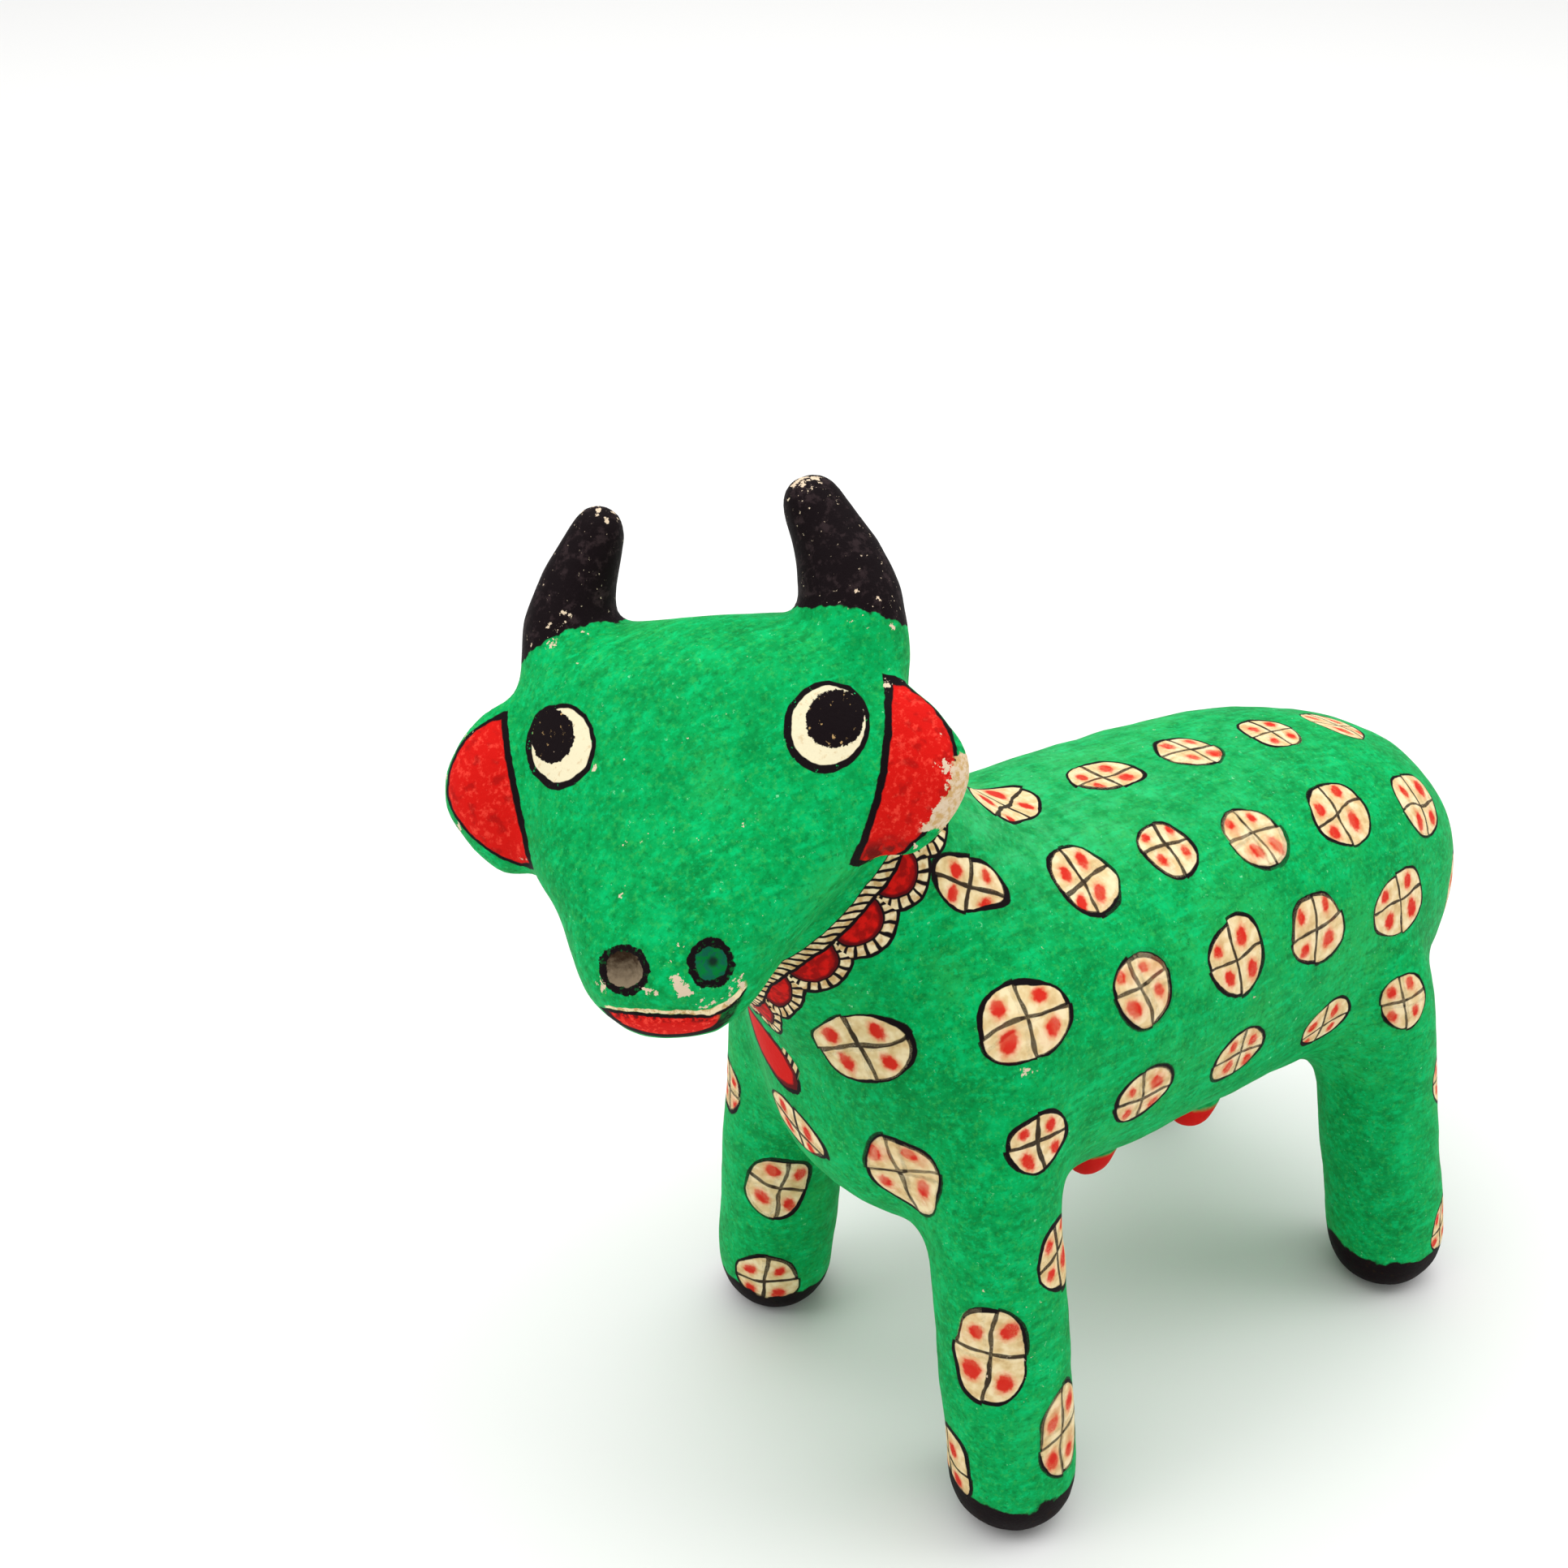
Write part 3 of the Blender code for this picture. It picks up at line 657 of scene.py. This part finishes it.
def paint_flowers(p, below):
    """Cream flowers with a red dab in each quarter, a dark cross and a brushed black outline."""
    u, v, seed = p.attribute("flower")
    half_width, half_height, line = p.attribute("flower_size")
    shift = p.times(seed, 97.0)
    at = p.join(u, v, shift)
    slow = p.noise(at, 0.13, 0.0)[1]
    quick = p.noise(at, 0.7, 1.0)[1]
    x = p.add(u, p.add(p.times(p.take(slow[0], 0.5), 2.4), p.times(p.take(quick[0], 0.5), 0.30)))
    y = p.add(v, p.add(p.times(p.take(slow[1], 0.5), 2.4), p.times(p.take(quick[1], 0.5), 0.30)))
    own = p.node("ShaderNodeTexWhiteNoise", (p.join(shift, 3.0, 5.0),), noise_dimensions="3D")
    own = p.split(own.outputs["Color"])
    lean_x = p.times(y, p.times(p.take(own[1], 0.5), 0.30))
    lean_y = p.times(x, p.times(p.take(own[0], 0.5), -0.35))
    cross_x = p.take(x, p.add(p.times(p.take(own[0], 0.5), 1.8), lean_x))
    cross_y = p.take(y, p.add(p.times(p.take(own[2], 0.5), 1.8), lean_y))
    sign_x = p.math("SIGN", cross_x)
    sign_y = p.math("SIGN", cross_y)
    cell = p.node("ShaderNodeTexWhiteNoise", (p.join(sign_x, sign_y, shift),), noise_dimensions="3D")
    cell = p.split(cell.outputs["Color"])
    scale = p.add(0.94, p.times(cell[0], 0.12))
    power = 2.2
    wide = p.math("POWER", p.math("ABSOLUTE", p.over(x, half_width)), power)
    tall = p.math("POWER", p.math("ABSOLUTE", p.over(y, half_height)), power)
    round_length = p.math("POWER", p.add(wide, tall), 1.0 / power)
    mean = p.times(p.add(half_width, half_height), 0.5)
    edge = p.times(p.take(round_length, scale), mean)
    reach = p.most(p.length(x, y), 0.01)
    turn = p.join(p.over(x, reach), p.over(y, reach), shift)
    press = p.noise(turn, 0.9, 1.0)[0]
    half_line = p.times(line, p.add(0.24, p.times(p.ramp(press, 0.30, 0.65), 0.34)))
    inner = p.math("ABSOLUTE", p.add(edge, p.times(line, 0.5)))
    outline = p.inside(inner, p.most(half_line, 0.12))
    filled = p.inside(edge, p.times(line, -0.4))

    tone = p.noise(at, 0.5, 2.0)[0]
    cream = p.mix(p.ramp(tone, 0.42, 0.66), CREAM, CREAM_LIGHT)
    cream = p.mix(p.times(p.ramp(tone, 0.45, 0.28), 0.6), cream, CREAM_DARK)

    dab_x = p.take(cross_x, p.times(sign_x, p.times(half_width, p.add(0.36, p.times(cell[1], 0.14)))))
    dab_y = p.take(cross_y, p.times(sign_y, p.times(half_height, p.add(0.36, p.times(cell[2], 0.14)))))
    blot = p.noise(at, 1.3, 2.0)[0]
    dab = p.add(p.length(dab_x, p.times(dab_y, 0.85)), p.times(p.take(blot, 0.5), 0.9))
    dab_size = p.times(mean, p.add(0.135, p.times(cell[0], 0.06)))
    colour = p.mix(p.times(p.inside(dab, p.times(dab_size, 1.35), 0.5), 0.5), cream, HALO)
    colour = p.mix(p.times(p.inside(dab, dab_size, 0.30), 0.95), colour, RED)

    stroke = p.times(line, p.add(0.34, p.times(p.ramp(p.noise(at, 0.35, 0.0)[0], 0.3, 0.7), 0.18)))
    cross = p.least(p.math("ABSOLUTE", cross_x), p.math("ABSOLUTE", cross_y))
    colour = p.mix(p.times(p.inside(cross, stroke), 0.96), colour, LINE_DARK)
    colour = p.mix(filled, below, colour)
    return p.mix(outline, colour, BLACK)


def paint_collar(p, at, colour):
    """A cord of slanted beads round the neck, and under it red scallops edged with beads."""
    ahead, across, height = p.attribute("collar")
    turns = p.over(p.math("ARCTAN2", across, ahead), 2.0 * math.pi)
    shake, shakes = p.noise(at, 0.22, 2.0)
    height = p.add(height, p.times(p.take(shake, 0.5), 1.4))
    turns = p.add(turns, p.times(p.take(shakes[1], 0.5), 0.012))
    along = p.math("WRAP", p.times(p.take(turns, SCALLOP_TURN), SCALLOPS), 0.5, -0.5)
    along = p.times(along, COLLAR_ROUND / SCALLOPS)
    below = p.most(p.take(SCALLOP_TOP, height), 0.0)
    part_along = p.over(along, SCALLOP_HALF)
    part_below = p.over(below, SCALLOP_DROP)
    edge = p.times(p.take(p.length(part_along, part_below), 1.0), SCALLOP_DROP)
    under = p.inside(height, SCALLOP_TOP + 0.1)
    ring = p.math("ARCTAN2", part_below, part_along)
    stud = p.math("ABSOLUTE", p.take(p.math("FRACT", p.times(ring, SCALLOP_BEADS)), 0.5))
    blots = p.noise(at, 0.7, 2.0)[0]
    red = p.mix(p.ramp(blots, 0.40, 0.62), RED_DARK, RED)
    cream = p.mix(p.ramp(blots, 0.35, 0.65), CREAM_DARK, CREAM_LIGHT)
    colour = p.mix(p.times(under, p.inside(edge, SCALLOP_BAND)), colour, BLACK)
    beads = p.times(p.ramp(edge, 0.35, 0.55), p.inside(edge, SCALLOP_BEADS_OUT))
    beads = p.times(beads, p.inside(stud, 0.33, 0.05))
    colour = p.mix(p.times(under, beads), colour, cream)
    colour = p.mix(p.times(under, p.inside(edge, 0.12)), colour, MAROON)
    colour = p.mix(p.times(under, p.inside(edge, -0.45, 0.3)), colour, red)
    cord = p.math("ABSOLUTE", height)
    colour = p.mix(p.inside(p.math("ABSOLUTE", p.add(height, 0.2)), ROPE_HALF), colour, BLACK)
    slant = p.times(height, BEAD_SLANT)
    bead = p.math("ABSOLUTE", p.take(p.math("FRACT", p.add(p.times(turns, BEADS), slant)), 0.5))
    bead = p.times(p.inside(bead, 0.31, 0.05), p.inside(cord, BEAD_HALF))
    return p.mix(bead, colour, cream)


def paint_leaf(p, at, colour):
    """One red leaf with pale beads, low on the chest."""
    x, y, z = p.split(at)
    side = p.take(y, LEAF_AT[0])
    rise = p.take(z, LEAF_AT[1])
    along = p.add(p.times(side, LEAF_WAY[0]), p.times(rise, LEAF_WAY[1]))
    over = p.add(p.times(side, -LEAF_WAY[1]), p.times(rise, LEAF_WAY[0]))
    ahead = p.ramp(x, *LEAF_AHEAD)
    reach = p.length(p.over(along, LEAF_HALF[0]), p.over(p.take(over, 0.5), LEAF_HALF[1]))
    edge = p.times(p.take(reach, 1.0), LEAF_HALF[1])
    edge = p.add(edge, p.times(p.take(p.noise(at, 0.5, 2.0)[0], 0.5), 0.8))
    stud = p.math("ABSOLUTE", p.take(p.math("FRACT", p.times(along, LEAF_BEADS)), 0.5))
    beads = p.times(p.inside(p.math("ABSOLUTE", p.take(edge, 1.15)), 0.65), p.inside(stud, 0.30, 0.05))
    beads = p.times(beads, p.times(p.ramp(along, 3.6, 4.2), p.inside(along, LEAF_HALF[0], 0.4)))
    band = p.add(0.55, p.times(p.ramp(along, 3.4, 4.0), 1.35))
    upper = p.times(p.ramp(over, -0.1, 0.3), p.inside(p.math("ABSOLUTE", along), LEAF_HALF[0] + 0.2, 0.4))
    band = p.times(p.inside(edge, band), upper)
    colour = p.mix(p.times(p.inside(edge, 0.75), ahead), colour, BLACK)
    colour = p.mix(p.times(band, ahead), colour, BLACK)
    colour = p.mix(p.times(p.times(beads, p.ramp(over, 0.0, 0.2)), ahead), colour, CREAM)
    colour = p.mix(p.times(p.inside(edge, 0.25), ahead), colour, MAROON)
    return p.mix(p.times(p.inside(edge, -0.35, 0.2), ahead), colour, RED)


def paint_teats(p, colour):
    teat = p.attribute("spots")[0]
    return p.mix(teat, colour, RED)


def paint_wear(p, at, colour):
    """Paint lost down to the cream priming, most where the figure is worn."""
    wear = p.attribute("spots")[1]
    rough = p.noise(at, 0.55, 4.0, 0.65)[0]
    chips = p.ramp(p.add(rough, p.times(wear, 0.34)), 0.735, 0.765)
    return p.mix(chips, colour, CHIP)


def paint_feet(p, at, colour):
    """Black hooves with a ragged upper edge, taller on the left legs."""
    _, y, height = p.split(at)
    rough = p.noise(at, 0.16, 2.0)[0]
    grain = p.noise(at, 0.8, 3.0, 0.65)[0]
    ragged = p.add(p.times(p.take(rough, 0.5), 5.0), p.times(p.take(grain, 0.5), 1.2))
    edge = p.add(p.add(HOOF_HEIGHT, p.times(p.ramp(y, -5.0, 5.0), HOOF_LEFT)), ragged)
    hoof = p.mix(p.times(p.ramp(grain, 0.56, 0.70), 0.4), BLACK, LINE_BROWN)
    return p.mix(p.inside(height, edge, 0.3), colour, hoof)


def paint_horns(p, at, colour):
    """Black horns with grey streaks of painted sheen and pale specks. The head between them stays green."""
    x, z, _ = p.attribute("face")
    from_middle = p.math("ABSOLUTE", x)
    left = p.ramp(x, -1.0, 1.0)
    over = p.most(p.take(from_middle, p.add(HORN_OUT, p.times(left, HORN_OUT_LEFT))), 0.0)
    root = p.take(p.add(HORN_UP, p.times(left, HORN_UP_LEFT)), p.times(p.times(over, over), HORN_SAG))
    root = p.add(root, p.times(p.inside(from_middle, HORN_GAP, 1.5), HORN_GAP_UP))
    rough = p.noise(at, 0.5, 2.0)[0]
    edge = p.add(root, p.times(p.take(rough, 0.5), 1.8))
    black = p.ramp(p.take(z, edge), -0.15, 0.15)
    dots = p.ramp(p.noise(at, 1.1, 4.0, 0.7)[0], 0.665, 0.70)
    # Painted sheen: grey streaks over the horns' black.
    streaks = p.noise(at, 0.5, 4.0, 0.7)[0]
    horn_black_and_sheen = p.mix(p.times(p.ramp(streaks, 0.50, 0.66), 0.45), BLACK, HORN_SHEEN_GREY)
    return p.mix(black, colour, p.mix(p.times(dots, 0.75), horn_black_and_sheen, CHIP))


def paint_ellipse(p, x, z, middle, half, rough=0.0, shake=None):
    """Signed distance in mm from an ellipse on the face, negative inside."""
    a = p.over(p.take(x, middle[0]), half[0])
    b = p.over(p.take(z, middle[1]), half[1])
    size = 0.5 * (half[0] + half[1])
    distance = p.times(p.take(p.length(a, b), 1.0), size)
    if shake is not None:
        distance = p.add(distance, p.times(p.take(shake, 0.5), rough))
    return distance


def paint_eyes(p, at, colour):
    """Cream eyes with black rims and large pupils with pale specks of painted glint."""
    x, z, front = p.attribute("face")
    shake = p.noise(at, 0.35, 2.0)[0]
    nick = p.noise(at, 1.1, 3.0, 0.65)[0]
    facing = p.ramp(front, -0.1, 0.05)
    # Painted glints: pale specks on the black pupils.
    glint_paint = p.mix(p.ramp(nick, 0.4, 0.6), GLINT_BLUE_GREY, CREAM_DARK)
    pupil_paint = p.mix(p.times(p.ramp(nick, 0.63, 0.70), 0.8), BLACK, glint_paint)
    white_paint = p.mix(p.times(p.ramp(nick, 0.44, 0.32), 0.4), EYE_CREAM, CREAM_DARK)
    for outer, outer_half, white, white_half, pupil, pupil_half in EYES:
        rim = p.inside(paint_ellipse(p, x, z, outer, outer_half, 0.9, shake), 0.0)
        rim = p.times(rim, p.inside(nick, 0.66, 0.02))
        fill = p.inside(paint_ellipse(p, x, z, white, white_half, 0.9, shake), 0.0)
        dark = p.inside(paint_ellipse(p, x, z, pupil, pupil_half, 1.3, nick), 0.0)
        colour = p.mix(p.times(rim, facing), colour, BLACK)
        colour = p.mix(p.times(fill, facing), colour, white_paint)
        colour = p.mix(p.times(dark, facing), colour, pupil_paint)
    return colour


def paint_ears(p, at, colour):
    """Red inner ears with black outlines. The cow's left ear is worn bare along its outer edge."""
    x, z, front = p.attribute("face")
    shake, tints = p.noise(at, 0.45, 3.0)
    facing = p.ramp(front, 0.02, 0.12)
    streaks = p.noise(at, 0.9, 3.0, 0.7)[0]
    red = p.mix(p.times(p.ramp(streaks, 0.50, 0.66), 0.8), RED, RED_LIGHT)
    red = p.mix(p.times(p.ramp(tints[1], 0.46, 0.30), 0.6), red, RED_DARK)
    red = p.mix(p.times(p.ramp(streaks, 0.70, 0.76), 0.6), red, HALO)
    upper = p.ramp(z, -1.0, 1.0)
    bend = p.take(z, EAR_BEND_UP)
    inners = (
        p.add(EAR_ROOT_RIGHT, p.times(z, EAR_SLANT)),
        p.take(EAR_ROOT_LEFT, p.times(p.times(bend, bend), EAR_BEND)),
    )
    for (side, middle, half, low_power), inner in zip(EARS, inners):
        power = p.add(low_power, p.times(upper, 2.0 - low_power))
        a = p.math("POWER", p.math("ABSOLUTE", p.over(p.take(x, middle[0]), half[0])), power)
        b = p.math("POWER", p.math("ABSOLUTE", p.over(p.take(z, middle[1]), half[1])), power)
        reach = p.math("POWER", p.add(a, b), p.over(1.0, power))
        oval = p.times(p.take(reach, 1.0), 0.5 * (half[0] + half[1]))
        straight = p.times(p.take(inner, x), side)
        shape = p.add(p.most(oval, straight), p.times(p.take(shake, 0.5), 0.9))
        line = p.add(0.32, p.times(p.ramp(straight, -2.2, -0.8), 0.28))
        colour = p.mix(p.times(p.inside(shape, line), facing), colour, BLACK)
        colour = p.mix(p.times(p.inside(shape, p.times(line, -1.0), 0.12), facing), colour, red)
    smudge = p.times(p.inside(z, -10.5, 1.5), p.ramp(x, 22.0, 23.0))
    smudge = p.times(smudge, p.times(p.ramp(tints[0], 0.42, 0.58), facing))
    colour = p.mix(p.times(smudge, p.times(p.inside(shape, 0.0), 0.75)), colour, BLACK)
    worn_edge = p.add(oval, p.times(p.take(streaks, 0.5), 4.0))
    low = p.add(z, p.times(p.take(tints[0], 0.5), 5.0))
    bare = p.times(p.times(p.ramp(worn_edge, -1.0, -0.7), p.inside(low, 2.0, 0.25)), p.ramp(low, -9.6, -9.2))
    bare = p.times(bare, p.ramp(x, 33.5, 34.5))
    pulp = p.mix(p.ramp(streaks, 0.35, 0.6), CREAM_DARK, CHIP)
    return p.mix(p.times(bare, p.ramp(front, -0.5, -0.3)), colour, pulp)


def paint_muzzle(p, at, colour):
    """Ringed nostrils with painted shade in their hollows, a cream upper lip, the red mouth under it with
    painted shade under the lip, and painted shade in its corner.
    """
    x, z, front = p.attribute("face")
    shake = p.noise(at, 0.6, 2.0)[0]
    grain = p.noise(at, 1.0, 3.0, 0.65)[0]
    facing = p.ramp(front, -0.15, 0.0)
    # Left pit: bare pulp, darkened towards its top with painted shadow.
    low = p.ramp(p.add(z, p.times(p.take(grain, 0.5), 5.0)), -23.4, -28.0)
    pit = p.mix(low, PIT_SHADOW_BROWN, PULP)
    # Right nostril: painted shade, a darker green in its hollow and a black dot for its small hole.
    hollow_shade = p.mix(p.ramp(grain, 0.4, 0.6), HOLLOW_SHADE_GREEN, GREEN_DARK)
    hole = p.length(p.take(x, HOLE_AT[0]), p.take(z, HOLE_AT[1]))
    hollow_shade = p.mix(p.times(p.inside(hole, 0.7, 0.4), 0.8), hollow_shade, BLACK)
    rough = p.add(p.times(shake, 0.5), p.times(grain, 0.5))
    for (middle, half), fill, ring_width in zip(NOSTRILS, (pit, hollow_shade), (1.15, 1.2)):
        ring = paint_ellipse(p, x, z, middle, half, 1.8, rough)
        ring_paint = p.mix(p.times(p.ramp(grain, 0.55, 0.68), 0.55), BLACK, GREEN_DARK)
        colour = p.mix(p.times(p.inside(ring, 0.0), facing), colour, ring_paint)
        colour = p.mix(p.times(p.inside(ring, -ring_width), facing), colour, fill)
    rise = p.most(p.take(x, LIP_BEND), 0.0)
    lip = p.times(p.take(p.least(x, LIP_BEND), LIP_START), LIP_SLOPE)
    lip = p.add(lip, p.times(p.times(rise, rise), LIP_CURL))
    above = p.take(p.add(z, p.times(p.take(shake, 0.5), 0.8)), p.add(lip, LIP_UP))
    mouth_x = p.over(p.take(x, MOUTH_MIDDLE), MOUTH_HALF[0])
    mouth = p.times(p.take(p.length(mouth_x, p.over(above, MOUTH_HALF[1])), 1.0), MOUTH_HALF[1])
    mouth = p.add(mouth, p.times(p.take(shake, 0.5), 0.9))
    red = p.mix(p.ramp(grain, 0.52, 0.66), RED, RED_LIGHT)
    # Painted shade: the red darkens in patches just under the lip.
    dark = p.times(p.ramp(grain, 0.50, 0.40), p.ramp(above, -1.9, -0.7))
    red = p.mix(p.times(dark, 0.8), red, BLACK)
    open_mouth = p.times(p.inside(above, -0.1), facing)
    colour = p.mix(p.times(p.inside(mouth, 0.55), open_mouth), colour, BLACK)
    colour = p.mix(p.times(p.inside(mouth, -0.2), open_mouth), colour, red)
    # Painted shade in the mouth's corner, black to dark green.
    corner = p.times(p.times(p.ramp(x, 3.8, 5.2), p.inside(x, 8.2, 0.8)), 0.85)
    depth = p.add(0.55, p.times(p.ramp(x, 8.0, 4.5), 0.75))
    corner = p.times(corner, p.inside(p.math("ABSOLUTE", p.add(above, depth)), depth, 0.25))
    shade = p.mix(p.ramp(grain, 0.40, 0.60), BLACK, GREEN_DARK)
    colour = p.mix(p.times(corner, facing), colour, shade)
    span = p.times(p.inside(p.math("ABSOLUTE", p.take(x, LIP_MIDDLE)), LIP_HALF, 0.3), facing)
    colour = p.mix(p.times(p.inside(p.math("ABSOLUTE", p.add(above, 0.3)), 0.3), span), colour, BLACK)
    thick = p.add(0.27, p.times(p.ramp(x, -1.0, 5.0), 0.22))
    lip_paint = p.mix(p.ramp(grain, 0.38, 0.55), CREAM_DARK, CREAM_LIGHT)
    return p.mix(p.times(p.inside(p.math("ABSOLUTE", p.take(above, 0.3)), thick), span), colour, lip_paint)


def painted_pulp():
    """The matt poster paint, laid in the order that the maker would use."""
    material = bpy.data.materials.new("painted_pulp")
    material.use_nodes = True
    tree = material.node_tree
    tree.nodes.clear()
    p = Paint(tree)
    metres = p.node("ShaderNodeTexCoord").outputs["Object"]
    at = p.node("ShaderNodeVectorMath", (metres, (1000.0, 1000.0, 1000.0)), operation="MULTIPLY").outputs[0]
    colour = paint_ground(p, at)
    colour = paint_flowers(p, colour)
    colour = paint_collar(p, at, colour)
    colour = paint_leaf(p, at, colour)
    colour = paint_teats(p, colour)
    colour = paint_feet(p, at, colour)
    colour = paint_horns(p, at, colour)
    colour = paint_ears(p, at, colour)
    colour = paint_eyes(p, at, colour)
    colour = paint_muzzle(p, at, colour)
    colour = paint_wear(p, at, colour)
    fine = p.noise(at, 1.6, 3.0, 0.6)[0]
    shader = p.node("ShaderNodeBsdfPrincipled")
    shader.inputs["Specular IOR Level"].default_value = SHEEN
    p.feed(shader.inputs["Base Color"], colour)
    p.feed(shader.inputs["Roughness"], p.add(ROUGHNESS, p.times(fine, ROUGHNESS_SPREAD)))
    bump = p.node("ShaderNodeBump")
    bump.inputs["Strength"].default_value = BUMP_STRENGTH
    bump.inputs["Distance"].default_value = BUMP_DEPTH
    p.feed(bump.inputs["Height"], fine)
    p.feed(shader.inputs["Normal"], bump.outputs[0])
    end = p.node("ShaderNodeOutputMaterial")
    p.feed(end.inputs[0], shader.outputs[0])
    return material


def make_stage():
    mesh = bpy.data.meshes.new("floor")
    half = FLOOR_HALF
    corners = [(-half, -half, 0), (half, -half, 0), (half, half, 0), (-half, half, 0)]
    mesh.from_pydata(corners, [], [(0, 1, 2, 3)])
    floor = bpy.data.objects.new("floor", mesh)
    bpy.context.scene.collection.objects.link(floor)
    material = bpy.data.materials.new("pale_floor")
    material.use_nodes = True
    shader = material.node_tree.nodes["Principled BSDF"]
    shader.inputs["Base Color"].default_value = FLOOR_COLOUR
    shader.inputs["Roughness"].default_value = FLOOR_ROUGHNESS
    mesh.materials.append(material)


def area_light(name, at, aim, size, watts):
    data = bpy.data.lights.new(name, "AREA")
    data.shape = "DISK"
    data.size = size
    data.energy = watts
    light = bpy.data.objects.new(name, data)
    light.location = at
    light.rotation_euler = (Vector(aim) - Vector(at)).to_track_quat("-Z", "Y").to_euler()
    bpy.context.scene.collection.objects.link(light)


def make_light():
    scene = bpy.context.scene
    scene.view_settings.view_transform = "Standard"
    world = bpy.data.worlds.new("studio")
    world.use_nodes = True
    back = world.node_tree.nodes["Background"]
    back.inputs["Color"].default_value = (1.0, 1.0, 1.0, 1.0)
    back.inputs["Strength"].default_value = WORLD_STRENGTH
    scene.world = world
    for light in LIGHTS:
        area_light(*light)


make_camera()
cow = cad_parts["cow"]
skin = skin_piece(cow)
even_out(skin.data)
add_lumps(skin.data, *cad_box)
canvas = Canvas(skin.data)
place_flowers(canvas)
head_local = face_coordinates(canvas)
collar_coordinates(canvas, head_local)
spot_values(canvas, head_local)
skin.data.materials.append(painted_pulp())
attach(skin, "root")
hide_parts("cow")
make_stage()
make_light()
